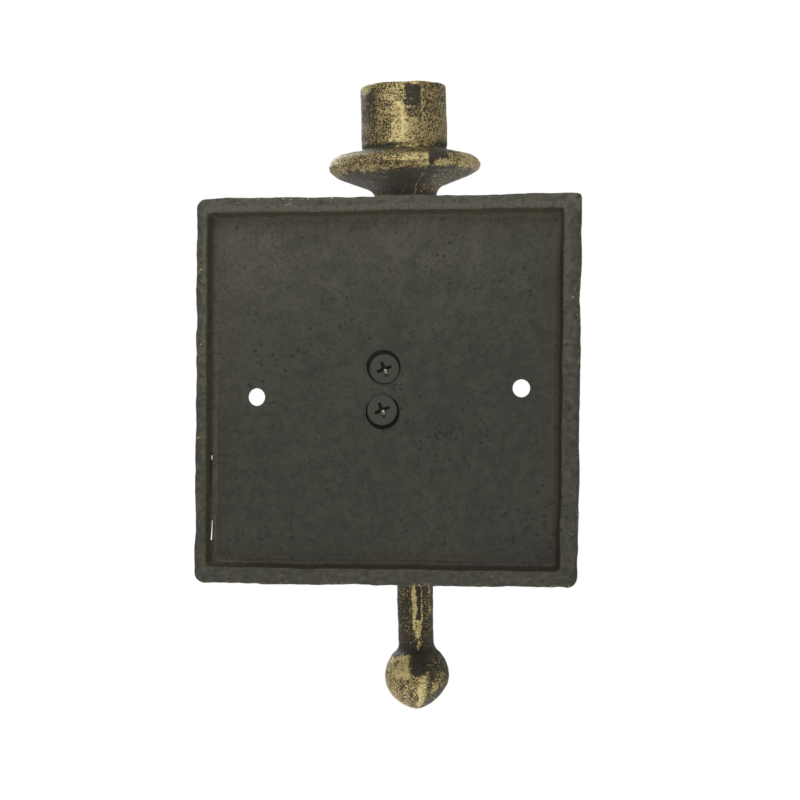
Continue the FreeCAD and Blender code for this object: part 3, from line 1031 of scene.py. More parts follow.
    def strokes(self) -> list[Stroke]:
        """The touches of the brush that can be told apart.

        Returns:
            The touches from the ball up, in the order in which they were laid.
        """
        return [
            Stroke(-107.5, -88.0, -62.0, 26.0, 0.9),
            Stroke(-104.0, -94.8, -6.0, 15.0, 0.63),
            Stroke(-96.0, -88.2, -22.0, 18.0, 1.24, 0.7, 1.6),
            Stroke(-107.0, -94.6, 16.5, 6.5, 1.2, 1.8, 0.8),
            Stroke(-94.9, -87.0, 12.0, 15.0, -0.4, 0.7, 1.2),
            Stroke(-107.5, -88.0, 66.0, 36.0, 0.33),
            Stroke(-101.0, -97.0, 41.0, 6.0, 0.95, 1.0, 1.2),
            Stroke(-97.5, -94.0, 56.0, 7.0, 0.7, 1.0, 1.2),
            Stroke(-88.6, -85.5, 20.0, 180.0, -0.1),
            Stroke(-85.5, -82.0, 20.0, 180.0, 0.14),
            Stroke(-82.0, -20.0, 17.0, 14.0, -0.1, 1.0, 0.8),
            Stroke(-78.0, -20.0, 27.5, 3.0, 0.9, 1.0, 0.6),
            Stroke(-80.0, -20.0, 3.5, 7.0, 1.2, 1.0, 0.7),
            Stroke(-86.8, -77.0, 14.0, 13.0, 1.15, 0.3, 0.6),
            Stroke(-74.5, -20.0, 60.0, 9.0, 0.85, 0.5, 1.2),
            Stroke(66.0, 73.4, 78.0, 42.0, 0.3),
            Stroke(66.0, 73.4, -66.0, 30.0, 0.1),
            Stroke(73.4, 74.4, -38.0, 46.0, 0.68, 1.0, 0.6),
            Stroke(74.4, 77.6, -20.0, 30.0, 0.6, 1.0, 1.2),
            Stroke(73.6, 77.8, 14.5, 10.5, 0.98, 1.0, 0.9),
            Stroke(74.2, 77.4, 27.0, 1.5, -0.3, 1.0, 1.0),
            Stroke(73.8, 77.8, 37.0, 7.0, 1.05, 1.0, 0.8),
            Stroke(75.6, 78.8, 34.0, 8.0, 0.0, 1.0, 0.8),
            Stroke(73.6, 78.8, 84.0, 30.0, 0.95),
            Stroke(73.6, 78.8, -76.0, 20.0, 0.62),
            Stroke(83.0, 101.5, -62.0, 30.0, 0.2),
            Stroke(82.4, 90.0, -44.0, 16.0, 0.5),
            Stroke(82.4, 100.6, -18.0, 15.0, 0.66),
            Stroke(91.0, 101.0, -9.0, 8.5, 0.84, 1.3, 1.5),
            Stroke(98.6, 102.2, -56.0, 22.0, 0.8, 0.2, 1.0),
            Stroke(81.0, 89.2, 24.0, 14.0, 0.8, 1.8, 1.0),
            Stroke(88.0, 94.4, 16.0, 9.5, 0.62, 1.0, 0.8),
            Stroke(82.6, 96.0, 0.6, 6.2, 1.08, 2.2, 0.7),
            Stroke(84.0, 94.6, 4.8, 1.8, 1.5, 1.0, 0.5),
            Stroke(94.4, 101.8, 19.0, 11.0, 0.12, 1.0, 0.8),
            Stroke(88.0, 101.6, 32.5, 1.5, 0.95, 1.0, 0.6),
            Stroke(101.7, 102.8, 0.0, 34.0, 0.8, 1.0, 0.6),
        ]

    def stand(self, frame: dict[str, Any]) -> Stand:
        """Stand the post on its stud's axis, leaning as the socket's mount says.

        Args:
            frame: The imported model.

        Returns:
            The stand, whose Z axis is the post's.
        """
        mount = mount_of(frame, "candle_socket")
        up = np.array(mount["axis"])
        across = np.array([up[2], 0.0, -up[0]])
        origin = np.array(mount["pos_m"]) / MM - up * self.mount_height
        return Stand(origin, across, np.array([0.0, 1.0, 0.0]), up)

    def build(self, frame: dict[str, Any], finish: CastingPaint) -> bpy.types.Object:
        """Cast, drill and paint the post.

        Args:
            frame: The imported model.
            finish: Its paint.

        Returns:
            The finished piece.
        """
        path = trace(self.stations())
        rings = turned_rings(path[:, :2], self.columns)
        around = self.measure(path, rings.reshape(-1, 3))
        moved = self.cast(around, outward_normals(rings, self.normal_row).reshape(-1, 3))
        load = self.brush(around, np.repeat(path[:, 2], self.columns))
        stand = self.stand(frame)
        ends = (moved[: self.columns, 2].mean(), moved[-self.columns:, 2].mean())
        piece = stand.skin("candle_post_casting", moved.reshape(rings.shape), ends)
        store(piece.data, GOLD, np.append(load, [load[0], load[-1]]))
        store(piece.data, GRIME, self.grime * smoothstep(*self.grime_load, load))
        cut_away(piece, [self.stud_way(stand)])
        settle(piece, Slot.POST, finish.build(), self.sharp, "candle_post")
        return piece

    def measure(self, path: np.ndarray, spots: np.ndarray) -> Around:
        """Find where each place lies round the axis and from the seam.

        Args:
            path: The profile.
            spots: Places of the whole post (n, 3) on its own axes.

        Returns:
            Where each place lies.
        """
        reach = np.hypot(spots[:, 0], spots[:, 1])
        bearing = np.degrees(np.arctan2(-spots[:, 0], spots[:, 1]))
        mouth = np.flatnonzero(path[:, 1] > self.cup_top - 0.5)[-1]
        outside = np.repeat(np.arange(len(path)) <= mouth, self.columns)
        seam = self.seam_bearing - self.seam_turn * smoothstep(*self.seam_turns, spots[:, 2])
        off_seam = wrapped(bearing - seam)
        across = np.radians(off_seam) * reach
        return Around(spots, spots[:, 2], bearing, reach, off_seam, across, outside)

    def cast(self, around: Around, normals: np.ndarray) -> np.ndarray:
        """Move the turned surface to where the sand left it.

        The sand's grain moves it along its normal, the halves of the mould sit seam_shift apart at
        the pan, and a thin ridge, a bell curve across the seam, stands where they met.

        Args:
            around: Where each place lies.
            normals: Its normals (n, 3).

        Returns:
            The moved places (n, 3).
        """
        spots, height = around.spots, around.height
        ridge = bell(around.across, self.seam_width) * self.seam_height
        ridge = ridge * (self.seam_share + self.seam_wear.at(spots))
        rise = (self.lumps.at(spots) + self.grit.at(spots) + np.clip(ridge, 0.0, None)) * around.outside
        moved = spots + normals * rise[:, None]
        step = self.seam_shift * (smoothstep(*self.seam_step, around.across) - 0.5)
        step = step * (np.abs(around.off_seam) < self.half_turn) * around.outside
        moved[:, 2] += step * window(self.step_from, self.step_to, height) - self.droop(around)
        moved = self.face_ball(moved)
        at_knop = np.abs(height) < self.knop_radius
        moved[:, 1] = np.where(at_knop, np.minimum(moved[:, 1], self.seat), moved[:, 1])
        return moved

    def brush(self, around: Around, load: np.ndarray) -> np.ndarray:
        """Lay the gold: the strokes over the base load, then fine streaks, clumps and the seam's ridge.

        Args:
            around: Where each place lies.
            load: The base load of each place.

        Returns:
            The load of each place.
        """
        spots, height, outside = around.spots, around.height, around.outside
        load = load + self.patches.at(spots)
        ragged = self.brush_edge.at(spots)
        for stroke in self.strokes():
            load = np.where(outside, stroke.lay(around, ragged, load), load)
        mark = smoothstep(*self.mark_spread, np.abs(around.bearing - self.mark_bearing))
        streaking = smoothstep(*self.cup_from, height) * (self.streaking[0] + self.streaking[1] * mark)
        clumping = self.clumping[0] + self.clumping[1] * smoothstep(*self.ball_from, height)
        load = load + (self.clumps.at(spots) * clumping + self.streaks.at(spots) * streaking) * outside
        on_seam = window(self.brushed_from, self.brushed_to, height) * outside
        return load + self.seam_load * bell(around.across, self.seam_brush) * on_seam

    def droop(self, around: Around) -> np.ndarray:
        """How far the pan hangs lower than drawn: its underside more on the +X side, its shoulder less.

        Args:
            around: Where each place lies.

        Returns:
            The drop of each place in millimetres.
        """
        side = 0.5 - 0.5 * np.sin(np.radians(around.bearing))
        under = window((self.neck - 1.0, self.neck + 4.0), self.pan_under, around.height)
        under = under * smoothstep(*self.pan_lip, around.reach)
        shoulder = window(self.shoulder_from, self.step_to, around.height)
        shoulder = shoulder * smoothstep(*self.shoulder_reach, around.reach)
        drop = self.pan_droop[0] + self.pan_droop[1] * side
        return drop * under - self.shoulder_lift * side * shoulder

    def face_ball(self, places: np.ndarray) -> np.ndarray:
        """Draw the ball's foot to a blunt point, as the sprue left it, fuller on its +X side.

        Args:
            places: Places of the whole post (n, 3) on its own axes.

        Returns:
            The places, with the lowest part of the ball pulled in and its tip let down.
        """
        under = smoothstep(self.ball_height + self.foot[0], self.ball_height + self.foot[1], places[:, 2])
        lopsided = smoothstep(*self.foot_side, places[:, 0])
        pull = 1.0 - under * (self.foot_pull[0] + self.foot_pull[1] * lopsided + self.facets.at(places))
        away = np.hypot(places[:, 0] - self.tip_aside, places[:, 1])
        tip = smoothstep(*self.tip_reach, away) * under * self.tip_drop
        moved = places * np.stack([pull, pull, np.ones(len(places))], axis=1)
        return moved - np.outer(tip, [-self.tip_lean, 0.0, 1.0])

    def stud_way(self, stand: Stand) -> bpy.types.Object:
        """The tapped hole for the stud, as a cutter.

        Args:
            stand: The post's stand.

        Returns:
            A rod along Y, from outside the knop's flat to the hole's end.
        """
        start = self.seat + 4.0
        rod = [(self.stud_hole, start), (self.stud_hole, self.seat - self.stud_depth)]
        along = Stand(stand.origin, np.array([1.0, 0.0, 0.0]), np.array([0.0, 0.0, 1.0]), stand.y)
        return along.turn("stud_way", rod, HOLE_COLUMNS)


@dataclass
class BackPlate:
    """The square cast plate: a hollow back with a rim, and a front that rises in two steps."""

    per_side: int = 108
    sharp: float = 40.0
    cutter_columns: int = 72
    hold: float = 0.9
    half_x: float = 59.2
    half_z: float = 59.5
    rim_side: float = 4.2
    rim_end: float = 4.5
    recess: float = 5.0
    recess_draft: float = 0.88
    recess_shift: tuple[float, float] = (0.9, 0.3)
    border: float = 7.0
    band: float = 8.2
    panel: float = 9.4
    border_width: float = 6.0
    band_width: float = 5.5
    step_slope: float = 0.69
    corners: tuple[float, float, float, float] = (3.0, 1.2, 3.0, 3.7)
    slack: tuple[float, float] = (0.0, -0.2)  # the wavy edge runs this far inside the true square
    proud: float = 0.65  # and nowhere further outside it than this
    hole_radius: float = 2.75
    sink_radius: float = 5.1
    hole_pitch: float = 82.3
    hole_tilt: float = 1.87
    dish_radius: float = 5.28
    dish_depth: float = 1.4
    dish_pitch: float = 14.0
    dish_turn: float = -1.15
    # X, Z and radius of each smudge, and its dust, or its soot where that is below 0
    smudges: tuple[tuple[float, float, float, float], ...] = (
        (45.0, 46.0, 13.0, 0.3), (-4.0, 50.0, 11.0, 0.3), (-26.0, 42.0, 10.0, 0.12),
        (-18.0, -12.0, 12.0, -0.24), (26.0, 9.0, 11.0, -0.14), (-48.0, -46.0, 14.0, -0.2),
        (30.0, -50.0, 12.0, -0.1), (4.0, 22.0, 10.0, -0.1),
    )
    dish_shadow: float = 0.28  # painted shadow on the floor round a dish
    head_radius: float = 4.6
    slit_x: float = 54.9
    slit_lean: float = 0.2
    slit_through: float = -12.0  # Y beyond the plate's front
    skews: tuple[float, float, float, float] = (0.38, 0.75, -0.38, 0.3)  # right, left, top, bottom, degrees
    waves: Relief = Relief(13.0, 0.4, 41, 4, (1.0, 0.35, 1.0))
    ripples: Relief = Relief(2.6, 0.13, 107)
    wander: Relief = Relief(15.0, 0.3, 127, 3)
    floor_swell: Relief = Relief(11.0, 0.1, 43, 4)
    floor_grit: Relief = Relief(1.3, 0.02, 47)
    blow_spacing: float = 8.5  # from one hammer blow on the front to the next
    blow_depth: float = 0.42
    blow_seed: int = 53
    front_grit: Relief = Relief(2.0, 0.06, 59)
    rim_sink: float = 0.12
    rim_swell: Relief = Relief(5.0, 1.0, 61)
    outer_edge: Pair = (0.93, 0.99)  # shares of the half size over which the outer waves set in
    inner_edge: tuple[Pair, Pair] = ((0.85, 0.89), (0.98, 0.94))  # and the hollow's edge wanders
    gold_patches: Relief = Relief(9.0, 0.22, 3, 3)
    bare_hollow: float = 0.5  # how much less gold fell in the hollow
    bare_rim: float = 0.1  # and on the rim's face, down to rim_depth
    rim_depth: float = -0.8
    wall_light: Pair = (-0.1, 0.3)  # from the hollow's walls with painted light, towards +X and the top, to those with painted shade, towards -X and the bottom
    # strength of the painted shade on the hollow's walls towards -X and the bottom
    wall_painted_shade: float = 0.5
    # strength of the painted light on the hollow's walls towards +X and the top
    wall_painted_light: float = 0.8
    rim_face: Pair = (-0.5, -0.2)
    rim_dust_and_top_light: Pair = (0.5, 0.36)  # dust all round, and painted light added along the top
    rim_top: Pair = (0.9, 0.95)
    scuffs: Relief = Relief(2.2, 0.6, 113, 1, (1.0, 1.0, 1.7))
    knock: Pair = (9.0, 1.0)  # distances from the knocked corner
    chips: Relief = Relief(1.6, 1.6, 103)
    floor_patches: Relief = Relief(6.0, 0.2, 101, 4)
    # painted light on the hollow's floor, lighter towards the top and towards +X
    floor_painted_light: float = 0.56
    floor_rise: Pair = (-30.0, 62.0)  # heights, leaned by floor_aside, over which the floor's painted light grows towards the top
    floor_aside: float = 0.35
    smudge_wear: Relief = Relief(7.0, 0.9, 131, 3)

    def rows(self) -> np.ndarray:
        """The plate's profile from the middle of the hollow, over the rim, to the front's middle.

        Returns:
            Rows of half width, half height, corner share, depth, gold load, grime and shift share.
        """
        x, z = self.half_x, self.half_z
        ix, iz = x - self.rim_side, z - self.rim_end
        fx, fz = ix - self.recess_draft, iz - self.recess_draft
        bx, bz = x - self.border_width, z - self.border_width
        px, pz = bx - self.band_width, bz - self.band_width
        s = self.step_slope
        marks = [
            (0.5, 0.5, 0.2, -self.recess, 0.0, 0.0, 1.0, 0.9),
            (fx - 8.0, fz - 8.0, 0.5, -self.recess, 0.0, 0.0, 1.0, 0.7),
            (fx - 2.2, fz - 2.2, 0.5, -self.recess, 0.0, 0.15, 1.0, 0.25),
            (fx - 1.1, fz - 1.1, 0.5, -self.recess + 0.14, 0.0, 0.5, 1.0, 0.2),
            (fx - 0.4, fz - 0.4, 0.5, -self.recess + 0.55, 0.0, 0.55, 1.0, 0.2),
            (fx, fz, 0.5, -self.recess + 1.3, 0.0, 0.55, 1.0, 0.4),
            (ix - 0.2, iz - 0.2, 0.45, -0.7, 0.0, 0.45, 1.0, 0.2),
            (ix, iz, 0.45, -0.3, 0.0, 0.3, 1.0, 0.2),
            (ix + 0.5, iz + 0.5, 0.5, -0.02, 0.1, 0.0, 1.0, 0.35),
            (x - 0.9, z - 0.9, 0.9, -0.02, 0.02, 0.0, 0.0, 0.2),
            (x - 0.3, z - 0.3, 1.0, -0.25, 0.19, 0.0, 0.0, 0.2),
            (x, z, 1.0, -0.9, 0.08, 0.0, 0.0, 0.45),
            (x, z, 1.0, -self.border + 1.0, 0.3, 0.0, 0.0, 0.25),
            (x - 0.35, z - 0.35, 1.0, -self.border + 0.3, 0.75, 0.0, 0.0, 0.25),
            (x - 1.2, z - 1.2, 1.0, -self.border, 0.6, 0.0, 0.0, 0.6),
            (bx + 0.3, bz + 0.3, 0.6, -self.border, 0.15, 0.6, 0.0, 0.25),
            (bx, bz, 0.6, -self.border - 0.25, 0.1, 0.8, 0.0, 0.25),
            (bx - s, bz - s, 0.6, -self.band + 0.2, 0.7, 0.0, 0.0, 0.25),
            (bx - s - 0.5, bz - s - 0.5, 0.6, -self.band, 0.65, 0.0, 0.0, 0.6),
            (px + 0.3, pz + 0.3, 0.5, -self.band, 0.15, 0.6, 0.0, 0.25),
            (px, pz, 0.5, -self.band - 0.25, 0.1, 0.8, 0.0, 0.25),
            (px - s, pz - s, 0.5, -self.panel + 0.2, 0.75, 0.0, 0.0, 0.25),
            (px - s - 0.6, pz - s - 0.6, 0.5, -self.panel, 0.6, 0.0, 0.0, 0.7),
            (px - 8.0, pz - 8.0, 0.4, -self.panel, 0.35, 0.0, 0.0, 0.95),
            (0.5, 0.5, 0.2, -self.panel, 0.35, 0.0, 0.0, 1.0),
        ]
        rows = [np.array([marks[0][:STEP]])]
        for here, there in zip(marks, marks[1:]):
            a, b = np.array(here[:STEP]), np.array(there[:STEP])
            run = math.hypot(a[WIDE] - b[WIDE], a[DEPTH] - b[DEPTH])
            count = max(1, round(run / here[STEP]))
            rows.append(a + (b - a) * np.arange(1, count + 1)[:, None] / count)
        return np.concatenate(rows)

    def corner_radius(self, rows: np.ndarray) -> np.ndarray:
        """Corner radius of each ring and column: the four corners differ.

        Args:
            rows: The profile.

        Returns:
            A radius (rows, columns); a column takes the corner that it is nearest to.
        """
        right_top, left_top, left_low, right_low = self.corners
        sides = [right_low, right_top, right_top, left_top, left_top, left_low, left_low, right_low]
        return rows[:, CORNER, None] * np.repeat(sides, self.per_side // 2)[None, :]

    def warp(self, x: np.ndarray, z: np.ndarray) -> tuple[np.ndarray, np.ndarray]:
        """Skew the square as the casting is: its sides lean and its ends rise a little.

        Args:
            x: X of each place.
            z: Z of each place.

        Returns:
            Moved X and Z.
        """
        right = 0.5 + x / self.half_x / 2.0
        top = 0.5 + z / self.half_z / 2.0
        slopes = np.tan(np.radians(self.skews))
        lean = slopes[0] * right + slopes[1] * (1.0 - right)
        tilt = slopes[2] * top + slopes[3] * (1.0 - top)
        return x - z * lean, z + x * tilt

    def build(self, frame: dict[str, Any], finish: CastingPaint) -> bpy.types.Object:
        """Cast, drill and paint the plate.

        Args:
            frame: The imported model.
            finish: Its paint.

        Returns:
            The finished piece.
        """
        low, high, _ = box_mm("back_plate")
        rows = self.rows()
        rings = self.rings(rows)
        places = self.roughen(rings, rows)
        places[:, 0], places[:, 2] = self.warp(places[:, 0], places[:, 2])
        proud = np.array([self.proud, 0.0, self.proud])
        places = np.clip(places, low - proud, high + proud)
        back = np.array([self.recess_shift[0], -self.recess, self.recess_shift[1]])
        front = np.array([0.0, -self.panel, 0.0])
        piece = grid_mesh("back_plate_casting", places.reshape(rings.shape), back, front)
        self.dress(piece.data, rings.reshape(-1, 3), np.repeat(rows, rings.shape[1], axis=0))
        cut_away(piece, self.cutters(frame))
        self.shade_dishes(piece.data)
        settle(piece, Slot.PLATE, finish.build(), self.sharp, "back_plate")
        return piece

    def rings(self, rows: np.ndarray) -> np.ndarray:
        """Lay a rounded rectangle at each row of the profile, each corner with its own radius.

        Args:
            rows: The profile.

        Returns:
            The smooth rings (rows, columns, 3).
        """
        wide, tall, share = rows[:, WIDE], rows[:, TALL], rows[:, CORNER]
        corner = self.corner_radius(rows)
        flat = np.zeros((*corner.shape, 2))
        for radius in sorted(set(self.corners)):
            soft = np.minimum(share * radius, wide * 0.8)
            ringed = rounded_rings(wide, tall, soft, self.per_side, self.hold)
            chosen = np.isclose(corner, share[:, None] * radius)
            flat = np.where(chosen[:, :, None], ringed, flat)
        moved = flat + rows[:, SHIFT, None, None] * np.array(self.recess_shift)
        depth = np.broadcast_to(rows[:, DEPTH, None], corner.shape)
        return np.stack([moved[:, :, 0], depth, moved[:, :, 1]], axis=2)

    def dress(self, mesh: bpy.types.Mesh, spots: np.ndarray, rows: np.ndarray) -> None:
        """Lay gold and grime, soot with painted shade and dust with painted light: each the profile's own
        share, broken by noise. The painted shade falls on the hollow's walls towards -X and the bottom; the
        painted light on its other walls, along the rim's top and up the floor.

        Args:
            mesh: The plate before it is cut.
            spots: Its places (n, 3) on the smooth surface.
            rows: The profile's row of each place.
        """
        x, y, z = spots.T
        hollow = rows[:, SHIFT] > 0.5
        walls = (rows[:, DIRT] > 0.25) & hollow
        floor = hollow & ~walls
        load = rows[:, LOAD] + self.gold_patches.at(spots)
        bare = np.where(hollow, self.bare_hollow, np.where(y > self.rim_depth, self.bare_rim, 0.0))
        store(mesh, GOLD, np.append(load - bare, [0.0, 0.3]))
        store(mesh, GRIME, rows[:, DIRT])
        # painted shade on the hollow's walls towards -X and the bottom, kept with the smudges' soot
        shaded = smoothstep(*self.wall_light, (-x - z) / self.half_x)
        smudge = self.smudged(spots) * floor
        store(mesh, SOOT_AND_SHADE, np.maximum(shaded * self.wall_painted_shade * walls, -smudge))

        # dust on the rim's face, with painted light added along its top
        top = smoothstep(*self.rim_top, z / self.half_z)
        dust_and_light = self.rim_dust_and_top_light[0] + self.rim_dust_and_top_light[1] * top + self.scuffs.at(spots)
        knocked = smoothstep(*self.knock, np.hypot(x + self.half_x, z - self.half_z))
        rim = smoothstep(*self.rim_face, y) * dust_and_light + knocked * self.chips.at(spots)
        # painted light on the hollow's other walls, towards +X and the top
        lit = (1.0 - shaded) * self.wall_painted_light * walls
        # painted light on the floor, growing towards the top and towards +X
        thick = self.floor_painted_light * smoothstep(*self.floor_rise, z + self.floor_aside * x) * floor
        patchy_and_lit = self.floor_patches.at(spots) * ~walls + thick
        store(mesh, DUST_AND_LIGHT, np.maximum(rim, lit) + patchy_and_lit + np.maximum(smudge, 0.0))

    def smudged(self, spots: np.ndarray) -> np.ndarray:
        """Sum the smudges, each a bell curve of the distance from its middle, broken by noise.

        Args:
            spots: Places on the plate.

        Returns:
            Dust where positive and soot where negative.
        """
        total = np.zeros(len(spots))
        for x, z, radius, strength in self.smudges:
            total += strength * bell(np.hypot(spots[:, 0] - x, spots[:, 2] - z), radius)
        return total * (1.0 + self.smudge_wear.at(spots))

    def dish_middles(self) -> dict[str, np.ndarray]:
        """The middles of the dishes, above and below the arm's middle on a leaning line.

        Returns:
            A middle in millimetres for each screw's node.
        """
        middle = box_mm("arm")[2]
        turn = math.radians(self.dish_turn)
        lean = np.array([math.sin(turn), 0.0, math.cos(turn)]) * self.dish_pitch / 2.0
        return {"arm_screw_upper": middle + lean, "arm_screw_lower": middle - lean}

    def shade_dishes(self, mesh: bpy.types.Mesh) -> None:
        """Paint shade into the screws' dishes, blackening their insides, and a soft painted shadow round
        them on the floor.

        Args:
            mesh: The cut plate.
        """
        spots = places_of(mesh)
        soot_and_shade = np.empty(len(spots), dtype=np.float32)
        layer = mesh.attributes[SOOT_AND_SHADE].data
        layer.foreach_get("value", soot_and_shade)
        middles = self.dish_middles().values()
        near = np.min([np.hypot(spots[:, 0] - m[0], spots[:, 2] - m[2]) for m in middles], axis=0)
        # painted shade: the dishes' insides go black
        sunk = smoothstep(-self.recess - 0.25, -self.recess - 0.5, spots[:, 1])
        sunk = sunk * (near < self.dish_radius + 0.5)
        # painted shadow: a soft dark ring on the floor round each dish
        dish_shadow = self.dish_shadow * smoothstep(self.dish_radius + 1.8, self.dish_radius, near) * (spots[:, 1] < -1.0)
        sunk = np.maximum(sunk, dish_shadow) * (spots[:, 1] > -self.panel + 0.5)
        layer.foreach_set("value", np.maximum(soot_and_shade, sunk).astype(np.float32))

    def roughen(self, rings: np.ndarray, rows: np.ndarray) -> np.ndarray:
        """Move the smooth surface inwards by the casting's waves, grain and hammer dents.

        Args:
            rings: The smooth rings.
            rows: The profile.

        Returns:
            The moved places (n, 3).
        """
        spots = rings.reshape(-1, 3)
        depth = np.repeat(rows[:, DEPTH], rings.shape[1])
        edge = np.maximum(np.abs(spots[:, 0]) / self.half_x, np.abs(spots[:, 2]) / self.half_z)
        waves = self.waves.at(spots) + self.ripples.at(spots)
        outer = smoothstep(*self.outer_edge, edge) / self.half_x
        wander = self.wander.at(spots) * window(*self.inner_edge, edge) / self.half_x
        sides = [1.0 - (waves + slack) * outer - wander for slack in self.slack]
        moved = spots * np.stack([sides[0], np.ones(len(waves)), sides[1]], axis=1)
        hollow = (spots[:, 1] > -self.recess - 0.5) & (edge < 0.94)
        floor = (self.floor_swell.at(spots) + self.floor_grit.at(spots)) * smoothstep(-0.6, -3.0, depth)
        blows = hammer_marks(spots * [1.0, 0.0, 1.0], self.blow_spacing, self.blow_seed)
        dents = self.blow_depth * (1.0 - blows) + self.front_grit.at(spots)
        front = smoothstep(-self.border + 0.3, -self.border, depth)
        rim = self.rim_sink * smoothstep(-0.6, 0.0, depth) * (1.0 + self.rim_swell.at(spots))
        moved[:, 1] += np.where(hollow, floor, 0.0) + front * np.clip(dents, 0.0, None) - rim
        return moved

    def cutters(self, frame: dict[str, Any]) -> list[bpy.types.Object]:
        """Everything that is cut through the plate.

        Args:
            frame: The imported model.

        Returns:
            Cutters for the wall holes, the screws' dishes and ways, and the cold shut.
        """
        cutters = []
        centre = np.array(mount_of(frame, "wall_screws")["pos_m"]) / MM
        tilt = math.radians(self.hole_tilt)
        reach = np.array([math.cos(tilt), 0.0, -math.sin(tilt)]) * self.hole_pitch / 2.0
        sink = self.sink_radius - self.hole_radius
        hole = [
            (self.hole_radius, 1.0), (self.hole_radius, -self.panel + sink),
            (self.sink_radius + 0.5, -self.panel - 0.5),
        ]
        for name, side in (("left", -1.0), ("right", 1.0)):
            cutters.append(self.turned_cutter(f"wall_hole_{name}", centre + reach * side, hole))
        for node, middle in self.dish_middles().items():
            _, high, axis = box_mm(node)
            head = high[1]
            dish = [
                (self.dish_radius + 0.25, 0.5), (self.dish_radius, -self.recess - 0.1),
                (self.dish_radius - 0.1, -self.recess - self.dish_depth + 0.1),
                (self.dish_radius - 0.5, -self.recess - self.dish_depth),
            ]
            cutters.append(self.turned_cutter(f"dish_{node}", middle, dish))
            way = [
                (self.head_radius + 0.12, head + 1.0), (self.head_radius + 0.12, head - 0.3),
                (self.hole_radius, head - 0.3 - (self.head_radius - self.hole_radius)),
                (self.hole_radius, -self.panel - 1.0),
            ]
            cutters.append(self.turned_cutter(f"way_{node}", axis, way))
        cutters.append(self.slit("slit_long", -40.2, -46.4, 0.1, 0.34, self.slit_through))
        cutters.append(self.slit("slit_dark", -19.2, -40.6, 0.25, 0.3, -self.recess - 0.7))
        cutters.append(self.slit("slit_spot", -20.1, -21.4, 0.18, 0.16, self.slit_through))
        return cutters

    def turned_cutter(self, name: str, axis: np.ndarray,
                      profile: Sequence[Pair]) -> bpy.types.Object:
        """A cutter turned about a line along Y.

        Args:
            name: Its name.
            axis: Any point of the line; only its X and Z count.
            profile: Radius and Y of each corner, from the wall's side to the room's.

        Returns:
            The cutter.
        """
        return facing_wall((axis[0], 0.0, axis[2]), 0.0).turn(name, profile, self.cutter_columns)

    def slit(self, name: str, top: float, bottom: float, top_width: float, low_width: float,
             depth: float) -> bpy.types.Object:
        """A thin wedge along the hollow's corner, where the iron ran cold and did not join.

        Args:
            name: Its name.
            top: Height of its upper end.
            bottom: Height of its lower end.
            top_width: Width at the upper end.
            low_width: Width at the lower end.
            depth: Y that it reaches.

        Returns:
            The cutter, which leans sideways as it goes in.
        """
        start = -self.recess + 1.6
        heights = np.array([top, bottom, bottom, top])
        drift = (top + 30.0) * 0.004 + np.array([0.0, 1.0, 1.0, 0.0]) * (top - bottom) * 0.05
        widths = np.array([-top_width, -low_width, low_width, top_width]) / 2.0
        rings = []
        for y in (start, depth):
            x = self.slit_x + widths + drift + (-self.recess - y) * self.slit_lean
            rings.append(np.stack([x, np.full(4, y), heights], axis=1))
        rings = np.array(rings)
        return grid_mesh(name, rings, rings[0].mean(axis=0), rings[1].mean(axis=0))


